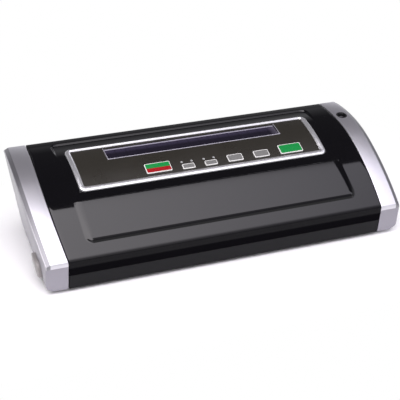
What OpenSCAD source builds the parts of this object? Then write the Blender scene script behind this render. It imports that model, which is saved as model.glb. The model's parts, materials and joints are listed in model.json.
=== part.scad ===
// Household bag sealer: hinged lid between two side housings, vacuum chamber and seal bar.
// Millimetres, +Z up, front at -Y, centred on X, feet on z = 0.

/* [Overall] */
// Width over the two side housings at their widest
width = 390; // [370:1:410]
// Depth from front edge to back wall
depth = 151.4; // [148:0.2:156]
// Height of the lid crown above the table
height = 97.1; // [94:0.1:102]
// Height of the feet under the floor
foot_h = 4; // [3:0.5:5]

/* [Lid arch] */
// Radius of the rear, tighter part of the arch
arc_rear_r = 172.6; // [168:0.2:178]
// Radius of the front, flatter part of the arch
arc_front_r = 478; // [440:1:520]
// Distance of the change of radius from the centre line, toward the back
arc_join_y = 3; // [-2:0.5:8]
// How far the front face leans in at its foot
front_lean = 5.2; // [3:0.1:7]
// Edge radius at the front of the lid
edge_r = 2; // [1:0.25:3]

/* [Side housings] */
// Plan radius of the bowed outer sides
bow_r = 880; // [700:10:1400]
// Shift of the widest point toward the back
bow_y = 8.8; // [0:0.2:14]
// Width of a side housing across its top
cheek_w = 22.2; // [21:0.1:27]
// Plan radius of the lid sides
seam_r = 700; // [600:10:1200]
// Width of the bevel along the trims
bevel_w = 4.7; // [3:0.1:6]
// Drop of the bevel along the trims
bevel_h = 2.65; // [2:0.05:3.5]
// Thickness of a trim at its rim
trim_t = 3.8; // [3.4:0.1:4.4]
// Inward lean of the side walls at the back, bottom against top
side_lean = 14.5; // [8:0.5:18]
// Wall thickness of the mouldings
wall = 2.4; // [2:0.1:3]

/* [Lid] */
// Thickness of the lid skin
skin = 2.6; // [2.2:0.1:3.2]
// Height of the lower edge of the lid at the front
lip_z = 19.3; // [19:0.1:21]
// Height at which the lid back wall ends
back_z = 55; // [54.5:0.1:57]
// Rise of the raised front field at its front edge
field_h = 3.4; // [2:0.1:4]
// Half width of the raised front field
field_half = 146; // [130:1:150]
// Front edge of the raised front field
field_y = -62.6; // [-64:0.2:-55]
// Depth of the hollow behind the control panel
hollow_h = 1.8; // [1:0.1:1.9]

/* [Control panel] */
// Half width of the panel frame
frame_half = 136.5; // [132:0.5:140]
// Front edge of the panel frame
frame_y0 = -11.6; // [-14:0.2:-9]
// Back edge of the panel frame
frame_y1 = 49; // [47:0.2:52]
// Rise of the panel frame above the lid
frame_h = 1.5; // [0.8:0.1:2]
// Width of the side and front rails of the frame
rail_w = 5.6; // [4:0.1:6.4]
// Travel of a membrane key
key_travel = 0.5; // [0.3:0.1:0.8]
// Gap round each key
key_gap = 0.4; // [0.3:0.05:0.6]

/* [Chamber] */
// Height of the chamber deck
deck_z = 17; // [16.5:0.1:17.4]
// Half length of the vacuum trough
trough_half = 144; // [120:1:146]
// Floor height of the vacuum trough
trough_z = 9; // [8.6:0.1:12]
// Half length of the seal bar
bar_half = 154; // [140:1:156]
// Width of the seal bar
bar_w = 8; // [6:0.5:9]
// Width of the foam gaskets
gasket_w = 5; // [4:0.25:5.5]

/* [Hinge and release] */
// Hinge axis, distance in front of the back wall
hinge_in = 7.7; // [7.4:0.1:8.2]
// Hinge axis, height
hinge_z = 60; // [59.5:0.1:60.5]
// Radius of the hinge pins
pin_r = 2; // [1.6:0.1:2.4]
// Running clearance of the hinge pins
pin_fit = 0.08; // [0.03:0.01:0.1]
// Distance of each hinge from the centre
hinge_x = 128; // [110:1:136]
// Inward travel of the release buttons
release_travel = 3.5; // [3:0.1:4]
// Length of a release button along the side
button_l = 30; // [24:0.5:34]
// Height of a release button
button_h = 19; // [16:0.5:20]
// How far a release button stands out of the side
button_out = 4.6; // [3.6:0.1:5.5]

/* [Hose port] */
// Bore radius of the accessory hose port
port_r = 4; // [3:0.1:4.4]
// Distance of the port behind the centre line
port_y = 42; // [36:0.5:48]

/* [Hidden] */
$fn = 96;
yb = depth / 2;
hw = width / 2;
seam_half = hw - cheek_w;
hinge_y = yb - hinge_in;
// rear arc centre: level at the back edge
cby = yb; cbz = height - arc_rear_r;
th = asin((cby - arc_join_y) / arc_rear_r);
jz = cbz + arc_rear_r * cos(th);
cfy = arc_join_y + arc_front_r * sin(th);
cfz = jz - arc_front_r * cos(th);
function arch(y) = y > arc_join_y ? cbz + sqrt(arc_rear_r * arc_rear_r - (y - cby) * (y - cby))
                                 : cfz + sqrt(arc_front_r * arc_front_r - (y - cfy) * (y - cfy));
function tilt(y) = y > arc_join_y ? asin((cby - y) / arc_rear_r) : asin((cfy - y) / arc_front_r);
zf = arch(-yb);
zb = foot_h;
lean = front_lean / (zf - zb);
function front_y(z) = -yb + (zf - z) * lean;
function xo(y) = hw - (y - bow_y) * (y - bow_y) / (2 * bow_r);
// lid seam: bowed, and straight behind seam_s; the lid keeps clear of it where it swings back
seam_s = 38;
function xs(y) = seam_half - (y < seam_s ? y * y / (2 * seam_r)
                                         : seam_s * seam_s / (2 * seam_r) + (y - seam_s) * seam_s / seam_r);
seam_gap = 0.7;
cheek_in = 0.3;
swing_y = 48;
function lid_x(y) = min(xs(y) - seam_gap / 2, xs(yb) + cheek_in - 0.12 + max(0, swing_y - y) * 0.102);
box_half = xs(-yb) - 1;
deck_half = xs(-yb) - 0.7;
field_slope = (arch(-17) - arch(field_y) - field_h) / (-17 - field_y);
// release button position and latch heights
rb_y = -41; rb_z = 19.5;
crease0 = 8;
// keys: x centre, width along x, width along the panel, y centre, cap rise
keys = [[-49.5, 27.5, 13, 4.5, 0.7], [-17.5, 13.5, 6.6, 0.6, 0.6], [7.4, 13.5, 6.6, 0.6, 0.6],
        [35, 17, 9.2, 2.2, 0.6], [65, 17, 9.2, 2.2, 0.6], [99.2, 26, 12.6, 3.2, 0.7]];
leds = [-23, -12.2, 1.3, 12.4];
led_y = 6.6;
win = [-96, 97, 26, 43.4];

// ---- flat shapes in the Y-Z plane and in plan ----
module xprism(x0, x1) translate([x0, 0, 0]) rotate([90, 0, 90]) linear_extrude(x1 - x0) children();

// everything under the arch, set down by t along its normal
ay = [for (i = [0:42]) -90 + 4.3 * i];
function arch_pt(y, t) = [y + t * sin(tilt(y)), arch(y) - t * cos(tilt(y))];
module under_arch(t = 0) polygon(concat([for (y = ay) arch_pt(y, t)], [[95, -40], [-95, -40]]));
// side view of the body between two heights, set in by t at front and back
module side2d(z0, z1, t = 0, tb = undef) {
    b = yb - (is_undef(tb) ? t : tb);
    polygon([[front_y(z0) + t, z0], [b, z0], [b, z1], [front_y(z1) + t, z1]]);
}
// plan outlines with bowed sides, set in by t
ly = concat([for (i = [0:10]) -yb - 2 + (yb + 31) * i / 10], [swing_y, yb + 2]);
module lid_plan() polygon(concat([for (y = ly) [lid_x(y), y]], [for (i = [len(ly) - 1:-1:0]) [-lid_x(ly[i]), ly[i]]]));
module rrect(x0, x1, y0, y1, r) {
    translate([x0 + r, y0]) square([x1 - x0 - 2 * r, y1 - y0]);
    translate([x0, y0 + r]) square([x1 - x0, y1 - y0 - 2 * r]);
    for (x = [x0 + r, x1 - r], y = [y0 + r, y1 - r]) translate([x, y]) circle(r = r, $fn = 48);
}
module up(z0, z1) translate([0, 0, z0]) linear_extrude(z1 - z0) children();
// rounded front edge: the sliver that is taken off
module front_edge2d(r) {
    n = norm([1, lean]);
    // centre: r inside the front face and r under the front arc
    a = [-yb + r * n, zf];                 // point on the front line set in by r
    d = [-lean, 1] / n;                    // along that line, upward
    w = a - [cfy, cfz];
    bb = w * d; cc = w * w - (arc_front_r - r) * (arc_front_r - r);
    s = -bb - sqrt(bb * bb - cc) > -80 ? -bb - sqrt(bb * bb - cc) : -bb + sqrt(bb * bb - cc);
    s2 = abs(-bb + sqrt(bb * bb - cc)) < abs(s) ? -bb + sqrt(bb * bb - cc) : s;
    c = a + d * s2;
    t1 = [-1, -lean] / n;
    u = (c - [cfy, cfz]) / norm(c - [cfy, cfz]);
    a1 = atan2(t1[1], t1[0]); a2 = atan2(u[1], u[0]); a3 = a1 < 0 ? a1 + 360 : a1;
    polygon(concat([c + t1 * (r + 0.9), [-yb - 1, zf + 1], c + u * (r + 0.9)],
        [for (i = [0:8]) let (g = a2 + (a3 - a2) * i / 8) c + [cos(g), sin(g)] * (r + (i % 8 == 0 ? 0.015 : 0))]));
}
// slab that follows the arch between two set-downs, over a plan outline
module arch_slab(t0, t1, x0 = -200, x1 = 200) intersection() {
    xprism(x0, x1) difference() { under_arch(t0); under_arch(t1); }
    up(20, 140) children();
}
// frame of reference on the lid at distance y, z axis outward
module on_lid(x, y) translate([x, y, arch(y)]) rotate([tilt(y), 0, 0]) children();

// ---- side housings and trims ----
k_lean = side_lean / (height - 3 - zb);
k_back = (k_lean * (height - 3 - crease0) - xo(yb) + xo(-yb)) / depth;
// x of the leaning side wall, and the height where it meets the bowed upper wall
function lean_x(y, z) = xo(-yb) + (z - crease0) * k_lean - (y + yb) * k_back;
function crease_z(y) = crease0 + (xo(y) - xo(-yb) + (y + yb) * k_back) / k_lean;
function wall_x(y, z) = min(xo(y), lean_x(y, z));
function rim_z(y) = arch(y) - trim_t / cos(tilt(y));
foot_h1 = 4.1; foot_w1 = 5.6;
screw_y = [-62, -14];
// one outline across the housing, set in by t; the top is raised by e
function outline(y, t, e) = let (zt = rim_z(y) + e, z0 = zb + t, z1 = zb + foot_h1 + 0.6 * t,
        zk = max(z1 + 0.4, min(rim_z(y) - 0.5, crease_z(y))))
    [[xs(y) + cheek_in + t, z0], [xs(y) + cheek_in + t, zt], [wall_x(y, zt) - t, zt], [wall_x(y, zk) - t, zk],
     [wall_x(y, z1) - t, z1], [wall_x(y, z0) - foot_w1 - 0.4 * t, z0]];
// closed skin through a list of outlines, one for each y
module loft(ys, rows, lead) {
    m = len(rows[0]); n = len(ys) - 1;
    p = [for (i = [0:n], q = rows[i]) [q[0], i == 0 ? front_y(q[1]) + lead : ys[i], q[1]]];
    f = [for (i = [0:n - 1], j = [0:m - 1]) let (a = m * i + j, b = m * i + (j + 1) % m) each
        [[a, a + m, b], [b, a + m, b + m]]];
    polyhedron(points = p, faces = concat([[for (j = [0:m - 1]) j]], f, [[for (j = [m - 1:-1:0]) n * m + j]]));
}
module housing_body(t = 0) {
    n = 40;
    ys = [for (i = [0:n]) -yb + t + (depth - 2 * t) * i / n];
    loft(ys, [for (y = ys) outline(y, t, t > 0 ? 5 : 0)], t);
}
module button_outline(g = 0) translate([rb_y, rb_z]) {
    r = button_h / 2 + g - 2;
    rrect(-button_l / 2 - g, button_l / 2 + g, -button_h / 2 - g, button_h / 2 + g, min(8, r));
}
module housing(side) mirror([side < 0 ? 1 : 0, 0, 0]) difference() {
    union() {
        difference() {
            housing_body();
            housing_body(wall);
        }
        // screw bosses and trim posts against the inner wall
        for (y = screw_y) translate([xs(y) + 3.7, y, zb]) cylinder(r = 3.35, h = 20);
        for (y = [-58, 12, 62]) translate([xs(y) + 4, y, 18]) cylinder(r = 2.6, h = rim_z(y) - 20);
        // ribs from the inner wall to the outer wall
        for (y = [-12, 32]) translate([0, y + 0.8, 0]) rotate([90, 0, 0]) linear_extrude(1.6)
            polygon([[xs(y) + 1.2, zb + 1], [lean_x(y, zb) - 7, zb + 1], [lean_x(y, 12) - 1, 12],
                     [wall_x(y, rim_z(y) - 22) - 1, rim_z(y) - 22], [xs(y) + 1.2, rim_z(y) - 12]]);
        // tabs that bear on the ends of the tray
        for (y = [-64, -14, 56]) translate([deck_half, y - 5, zb + 2]) cube([xs(y) - deck_half + 1.4, 10, 9]);
    }
    for (y = screw_y) translate([xs(y) + 3.7, y, 0]) {
        cylinder(r = 1.3, h = 18);
        cylinder(r = 2.95, h = 6.25);
    }
    // release button opening and the latch window through the inner wall
    xprism(xo(rb_y) - 14, hw + 5) button_outline(0.5);
    translate([deck_half - 8, rb_y - 5.5, rb_z + 6.2]) cube([19, 11, 8.4]);
    if (side > 0) {
        // hose port seat above and hose passage through the inner wall
        translate([xs(port_y) + 9, port_y, 70]) cylinder(r = 6.6, h = 40);
        translate([deck_half - 8, port_y, 30]) rotate([0, 90, 0]) cylinder(r = 4.2, h = 16);
    }
    // cooling slots at the back
    for (i = [0:3]) translate([xs(yb) + 5 + i * 3, yb - 5, 30]) cube([1.4, 10, 22]);
}
// strip along the arch with a bevelled outer edge
module trim_strip() {
    n = 40;
    ys = [for (i = [0:n]) -yb + depth * i / n];
    loft(ys, [for (y = ys) let (t = arch(y), d = trim_t / cos(tilt(y)) - 0.02) [[xs(y) + cheek_in, t - d], [xs(y) + cheek_in, t],
        [xo(y) - bevel_w, t], [xo(y), t - bevel_h], [xo(y), t - d]]], 0);
}
module trim(side) mirror([side < 0 ? 1 : 0, 0, 0]) difference() {
    trim_strip();
    if (side > 0) translate([xs(port_y) + 9, port_y, 60]) cylinder(r = 6.05, h = 60);
}

// ---- base ----
module left_housing() color("silver") housing(-1);
module right_housing() color("silver") housing(1);
module left_trim() color("gainsboro") trim(-1);
module right_trim() color("gainsboro") trim(1);

bx = deck_half - 7;
foot_x = deck_half - 12; foot_y = yb - 25.7;
boss = [[-bx, -40], [bx, -40], [1 - bx, yb - 17.7], [bx - 1, yb - 17.7], [-61, 62], [60, 14]];
module base_tray() color("dimgray") difference() {
    union() {
        xprism(-deck_half, deck_half) difference() {
            side2d(zb, 50, 0);
            polygon([[front_y(zb) + wall, zb + wall], [yb - wall, zb + wall], [yb - wall, 60], [-90, 60],
                     [-90, 18.8], [front_y(18.8) + wall, 18.8]]);
        }
        // end walls
        for (s = [-1, 1]) xprism(s > 0 ? deck_half - wall : -deck_half, s > 0 ? deck_half : -deck_half + wall)
            polygon([[front_y(zb) + 0.8, zb], [yb - 0.8, zb], [yb - 0.8, 47.6], [2, 47.6], [2, 14.5], [front_y(14.5) + 0.8, 14.5]]);
        for (b = boss) translate([b[0], b[1], zb]) cylinder(r = 3.6, h = b[1] > 0 ? 43.6 : 10.7);
        // floor ribs
        for (x = [-110 : 55 : 110]) translate([x - 0.8, -66, zb]) cube([1.6, 60, 3.2]);
        for (x = [-60, 24, 106]) translate([x - 0.8, 8, zb]) cube([1.6, 60, 6]);
        // hinge lugs on the back wall
        for (s = [-1, 1], o = [-9.2, 9.2]) translate([s * hinge_x + o - 2.8, 0, 0]) {
            translate([0, hinge_y, hinge_z]) rotate([0, 90, 0]) cylinder(r = 4.4, h = 5.6);
            translate([0, hinge_y - 4.4, 40]) cube([5.6, yb - hinge_y + 4.4, 10]);
            translate([0, hinge_y - 4.4, 45]) cube([5.6, 8.8, hinge_z - 45]);
        }
    }
    for (b = boss) translate([b[0], b[1], b[1] > 0 ? 30 : 6]) cylinder(r = 1.25, h = 40);
    for (s = [-1, 1]) translate([s * hinge_x - 14, hinge_y, hinge_z]) rotate([0, 90, 0]) cylinder(r = pin_r, h = 28);
    // screw wells under the side housings' floor line, air vents and the inlet opening
    for (s = [-1, 1], q = [-1, 1]) translate([s * foot_x, q * foot_y, zb - 1]) cylinder(r = 3.05, h = 2.4);
    for (i = [0:9]) translate([40 + i * 6, yb - 5, 16]) cube([2.4, 10, 18]);
    for (i = [0:11]) translate([-110 + i * 7, 22, zb - 1]) cube([2.4, 26, 5]);
    translate([-150, yb - 5, 14]) cube([24.4, 10, 13.4]);
    // hose passage in the right end wall
    translate([deck_half - 8, port_y, 30]) rotate([0, 90, 0]) cylinder(r = 3.8, h = 12);
    for (x = [-35, 35]) translate([x, yb - 1.2, 38]) rotate([-90, 0, 0]) cylinder(r = 4, h = 2, $fn = 40);
}
trough = [-38, -12];
module ring_plan(half, y0, y1, w, r) difference() {
    rrect(-half, half, y0, y1, r);
    rrect(-half + w, half - w, y0 + w, y1 - w, r - w);
}
module top_deck() color("slategray") difference() {
    union() {
        xprism(-deck_half + 0.1, deck_half - 0.1) polygon([[front_y(deck_z) + wall + 0.7, deck_z - 2.2],
            [front_y(deck_z) + wall + 0.7, deck_z], [2, deck_z], [2, 50], [yb - wall - 0.2, 50],
            [yb - wall - 0.2, 47.8], [4.2, 47.8], [4.2, deck_z - 2.2]]);
        // trough walls
        up(trough_z - 1.6, deck_z - 1) rrect(-trough_half - 2, trough_half + 2, trough[0] - 2, trough[1] + 2, 7);
        // seal bar bed
        up(deck_z - 5, deck_z - 1) rrect(-bar_half - 2, bar_half + 2, -61.6, -50.4, 2);
        // gasket bed
        up(deck_z - 3.4, deck_z - 1) rrect(-trough_half - 8.5, trough_half + 8.5, trough[0] - 8.5, trough[1] + 8.5, 12);
        // bag stops behind the trough
        for (x = [-100, 0, 100]) translate([x - 9, -2.6, deck_z - 0.5]) cube([18, 1.8, 2.3]);
    }
    up(trough_z, 60) rrect(-trough_half, trough_half, trough[0], trough[1], 5);
    up(deck_z - 3, 60) rrect(-bar_half - 0.2, bar_half + 0.2, -56 - bar_w / 2 - 0.2, -56 + bar_w / 2 + 0.2, 1);
    up(deck_z - 1.2, 60) ring_plan(trough_half + 7.2, trough[0] - 7.2, trough[1] + 7.2, gasket_w + 0.4, 11);
    // room for the end walls of the tray
    for (s = [-1, 1]) translate([s > 0 ? deck_half - wall - 0.2 : -deck_half - 1, 1.8, 10]) cube([wall + 1.2, 80, 37.7]);
    // intake passage in the back wall of the trough
    translate([inlet_x, trough[1] - 1, inlet_z]) rotate([-90, 0, 0]) cylinder(r = 2.05, h = 5);
    // hinge lug passages
    for (s = [-1, 1]) translate([s * hinge_x - 13, hinge_y - 5.4, 40]) cube([26, 20, 20]);
    for (b = boss) translate([b[0], b[1], 0]) cylinder(r = 1.6, h = 60);
}
module seal_bar() color("silver") difference() {
    up(deck_z - 2.9, deck_z + 2) rrect(-bar_half, bar_half, -56 - bar_w / 2, -56 + bar_w / 2, 0.8);
    up(deck_z + 1.6, 30) translate([-bar_half + 6, -58.7]) square([2 * bar_half - 12, 5.4]);
}
module seal_wire() color("darkgoldenrod") {
    up(deck_z + 1.65, deck_z + 1.95) translate([-bar_half + 7, -57.4]) square([2 * bar_half - 14, 2.8]);
    for (s = [-1, 1]) translate([s * (bar_half - 9) - 2.5, -57.4, deck_z + 1.95]) cube([5, 2.8, 0.25]);
}
module seal_tape() color("tan") up(deck_z + 2.25, deck_z + 2.5)
    rrect(-bar_half + 1, bar_half - 1, -56 - bar_w / 2 + 0.1, -56 + bar_w / 2 - 0.1, 0.8);
module lower_gasket() color("black") up(deck_z - 1.15, 19.6)
    ring_plan(trough_half + 7, trough[0] - 7, trough[1] + 7, gasket_w, 10.8);
inlet_z = 10.7; inlet_x = 119;
module chamber_inlet() color("darkslategray") difference() {
    union() {
        translate([inlet_x - 6, trough[1] - 1.6, trough_z + 0.05]) cube([12, 1.55, 5.2]);
        translate([inlet_x, trough[1] - 0.1, inlet_z]) rotate([-90, 0, 0]) cylinder(r = 2, h = 12);
    }
    translate([inlet_x, trough[1] - 0.8, inlet_z]) rotate([-90, 0, 0]) cylinder(r = 1.3, h = 20);
    // strainer slots
    for (i = [-2:2]) translate([inlet_x + i * 2 - 0.4, trough[1] - 3, trough_z + 0.9]) cube([0.8, 2.4, 3.4]);
}
px0 = 76; pz = 26; py = 40;
module pump_motor() color("silver") difference() {
    union() {
        translate([px0 - 46, py, pz]) rotate([0, 90, 0]) cylinder(r = 15.5, h = 44);
        translate([px0 - 49, py, pz]) rotate([0, 90, 0]) cylinder(r = 5, h = 4);
        translate([px0 - 40, py - 13, zb + wall]) cube([30, 26, 8]);
    }
    translate([px0 - 20, py, pz]) rotate([0, 90, 0]) cylinder(r = 1.55, h = 40);
    for (a = [0:60:300]) translate([px0 - 47, py, pz]) rotate([a, 0, 0]) translate([0, 0, 10]) rotate([0, 90, 0])
        cylinder(r = 1.6, h = 4, $fn = 24);
}
module pump_head() color("dimgray") difference() {
    union() {
        translate([px0 - 1.8, py - 17, pz - 17]) cube([26, 34, 34]);
        translate([px0 + 11, py, pz + 16]) cylinder(r = 11, h = 4);
        translate([px0 + 24, py - 9, pz + 8]) rotate([0, 90, 0]) cylinder(r = 2.6, h = 9);
        translate([px0 + 24, port_y, 30]) rotate([0, 90, 0]) cylinder(r = 2.6, h = 9);
        translate([px0 - 1.8, py - 20, zb + wall]) cube([26, 40, 3]);
    }
    translate([px0 - 3, py, pz]) rotate([0, 90, 0]) cylinder(r = 12.6, h = 22);
    for (q = [[py - 9, pz + 8], [port_y, 30]]) translate([px0 + 22, q[0], q[1]]) rotate([0, 90, 0]) cylinder(r = 1.5, h = 14);
    for (s = [-8, 8]) translate([px0 + 11 + s, py, pz + 18]) cylinder(r = 1.2, h = 4, $fn = 24);
}
module pump_crank() color("gray") {
    translate([px0 - 14, py, pz]) rotate([0, 90, 0]) cylinder(r = 1.5, h = 28);
    difference() {
        translate([px0 + 2, py, pz]) rotate([0, 90, 0]) cylinder(r = 10.5, h = 5);
        for (a = [0:72:288]) translate([px0 + 1, py, pz]) rotate([a, 0, 0]) translate([0, 0, 6.4]) rotate([0, 90, 0])
            cylinder(r = 1.8, h = 8, $fn = 24);
    }
    translate([px0 + 6.5, py, pz + 2.6]) rotate([0, 90, 0]) cylinder(r = 4.5, h = 7);
}
// quarter bend about the z axis, from +x to +y
module elbow(r, t) rotate_extrude(angle = 90) translate([r, 0]) circle(r = t, $fn = 32);
module suction_hose() color("whitesmoke") difference() {
    ex = px0 + 35; ez = pz + 8;
    union() {
        // sleeve over the pump barb, bend down, then forward under the deck to the intake
        translate([px0 + 27, py - 9, ez]) rotate([0, 90, 0]) cylinder(r = 3.6, h = 7);
        translate([px0 + 33, py - 9, ez]) rotate([0, 90, 0]) cylinder(r = 2.8, h = ex - px0 - 32.9);
        translate([ex, py - 9, ez - 8]) rotate([90, 0, 0]) elbow(8, 2.8);
        translate([ex + 8, py - 9, inlet_z + 8]) cylinder(r = 2.8, h = ez - 15.9 - inlet_z);
        translate([ex + 8, py - 17, inlet_z + 8]) rotate([0, 90, 0]) elbow(8, 2.8);
        translate([ex + 8, trough[1] + 2.3, inlet_z]) rotate([-90, 0, 0]) cylinder(r = 2.8, h = py - 19.2 - trough[1]);
    }
    translate([px0 + 25, py - 9, ez]) rotate([0, 90, 0]) cylinder(r = 2.65, h = 8.4);
    translate([ex + 8, trough[1], inlet_z]) rotate([-90, 0, 0]) cylinder(r = 2.05, h = 12.3);
}
module port_hose() color("whitesmoke") {
    hx = xs(port_y) + 9;
    difference() {
        union() {
            translate([hx, port_y, 38]) cylinder(r = 2.6, h = 40);
            translate([hx - 8, port_y, 38]) rotate([-90, 0, 0]) elbow(8, 2.6);
            translate([px0 + 34, port_y, 30]) rotate([0, 90, 0]) cylinder(r = 2.6, h = hx - 8 - px0 - 34);
            translate([px0 + 27, port_y, 30]) rotate([0, 90, 0]) cylinder(r = 3.6, h = 7.5);
        }
        translate([hx, port_y, 72]) cylinder(r = 2.05, h = 10);
        translate([px0 + 26, port_y, 30]) rotate([0, 90, 0]) cylinder(r = 2.65, h = 7.4);
    }
}
module hose_port() color("black") {
    hx = xs(port_y) + 9;
    difference() {
        union() {
            intersection() {
                translate([hx, port_y, 80]) cylinder(r = 6, h = 30);
                xprism(150, 200) under_arch(-0.5);
            }
            translate([hx, port_y, 78.4]) cylinder(r = 6.4, h = 3);
            translate([hx, port_y, 73]) cylinder(r = 2, h = 6);
        }
        translate([hx, port_y, 82]) cylinder(r = port_r, h = 30);
        translate([hx, port_y, 70]) cylinder(r = 1.1, h = 30);
    }
}
module transformer_core() color("gray") difference() {
    translate([-122, 18, zb + wall + 0.1]) cube([52, 38, 38]);
    translate([-123, 27, zb + wall + 9]) cube([54, 5, 20.4]);
    translate([-123, 42, zb + wall + 9]) cube([54, 5, 20.4]);
    for (x = [-118, -74], z = [11, 39]) translate([x, 10, z]) rotate([-90, 0, 0]) cylinder(r = 1.6, h = 60, $fn = 24);
}
module transformer_coil() color("goldenrod") difference() {
    translate([-124.6, 23, zb + wall + 9.3]) cube([57.2, 28, 19.8]);
    for (q = [[17, 10.2], [31.8, 10.4], [46.8, 10.2]]) translate([-122.2, q[0], zb + wall + 8]) cube([52.4, q[1], 23]);
}
module main_board() color("darkgreen") difference() {
    union() {
        translate([-52, 12, 12]) cube([70, 52, 1.6]);
        for (x = [-46, 12], y = [17, 59]) translate([x, y, zb + wall + 0.1]) cylinder(r = 2.6, h = 6);
        translate([-44, 26, 13.6]) cube([16, 12, 14]);
        translate([-20, 40, 13.6]) cylinder(r = 5, h = 18);
        translate([-6, 40, 13.6]) cylinder(r = 4, h = 13);
        translate([-20, 20, 13.6]) cube([22, 9, 5]);
        translate([6, 24, 13.6]) cube([6, 12, 16]);
    }
    for (x = [-46, 12], y = [17, 59]) translate([x, y, 0]) cylinder(r = 1.2, h = 20, $fn = 24);
}
module air_valve() color("steelblue") difference() {
    union() {
        translate([132, 14, zb + wall + 0.1]) cube([18, 16, 15]);
        translate([141, 22, 20]) cylinder(r = 5, h = 8);
        translate([141, 22, 27]) cylinder(r = 2.2, h = 8);
    }
    translate([141, 22, 24]) cylinder(r = 1.1, h = 20, $fn = 24);
    translate([131, 17, 9]) cube([20, 10, 6]);
}
module power_inlet() color("black") difference() {
    union() {
        translate([-149.7, yb - 16, 14.3]) cube([23.8, 16, 12.8]);
        translate([-151.5, yb - 4.6, 12.2]) cube([27.4, 2, 17]);
    }
    translate([-137.8, yb - 9, 20.7]) for (s = [-3.6, 3.6]) translate([s, 0, 0]) rotate([-90, 0, 0])
        cylinder(r = 4.1, h = 12);
    translate([-141.4, yb - 9, 16.6]) cube([7.2, 12, 8.2]);
    for (s = [-4.3, 4.3]) translate([-137.8 + s, yb - 18, 20.7]) rotate([-90, 0, 0]) cylinder(r = 1.25, h = 14);
}
module inlet_pins() color("gold") for (s = [-4.3, 4.3]) translate([-137.8 + s, yb - 20, 20.7]) {
    rotate([-90, 0, 0]) cylinder(r = 1.2, h = 17);
    translate([-1.2, -2, -0.4]) cube([2.4, 4, 0.8]);
}
module foot() difference() {
    union() {
        cylinder(r1 = 7, r2 = 8, h = foot_h - 0.1);
        translate([0, 0, foot_h - 0.5]) cylinder(r = 3, h = 1.8);
    }
    translate([0, 0, -0.1]) cylinder(r = 2.4, h = 1.4);
}
module front_left_foot() color("black") translate([-foot_x, -foot_y, 0]) foot();
module front_right_foot() color("black") translate([foot_x, -foot_y, 0]) foot();
module back_left_foot() color("black") translate([-foot_x, foot_y, 0]) foot();
module back_right_foot() color("black") translate([foot_x, foot_y, 0]) foot();
module hinge_pin(s) translate([s * hinge_x - 12, hinge_y, hinge_z]) rotate([0, 90, 0]) cylinder(r = pin_r, h = 24);
module left_hinge_pin() color("silver") hinge_pin(-1);
module right_hinge_pin() color("silver") hinge_pin(1);
module screw(l, r = 1.25) {
    cylinder(r = r, h = l);
    difference() {
        translate([0, 0, l]) cylinder(r1 = r, r2 = 2.9, h = 1.7);
        for (a = [0, 90]) rotate(a) translate([-0.35, -1.8, l + 0.8]) cube([0.7, 3.6, 2]);
    }
}
module floor_screws() color("silver") for (s = [-1, 1], y = screw_y)
    translate([s * (xs(y) + 3.7), y, 15]) mirror([0, 0, 1]) translate([0, 0, 0.5]) screw(8.2);

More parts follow.
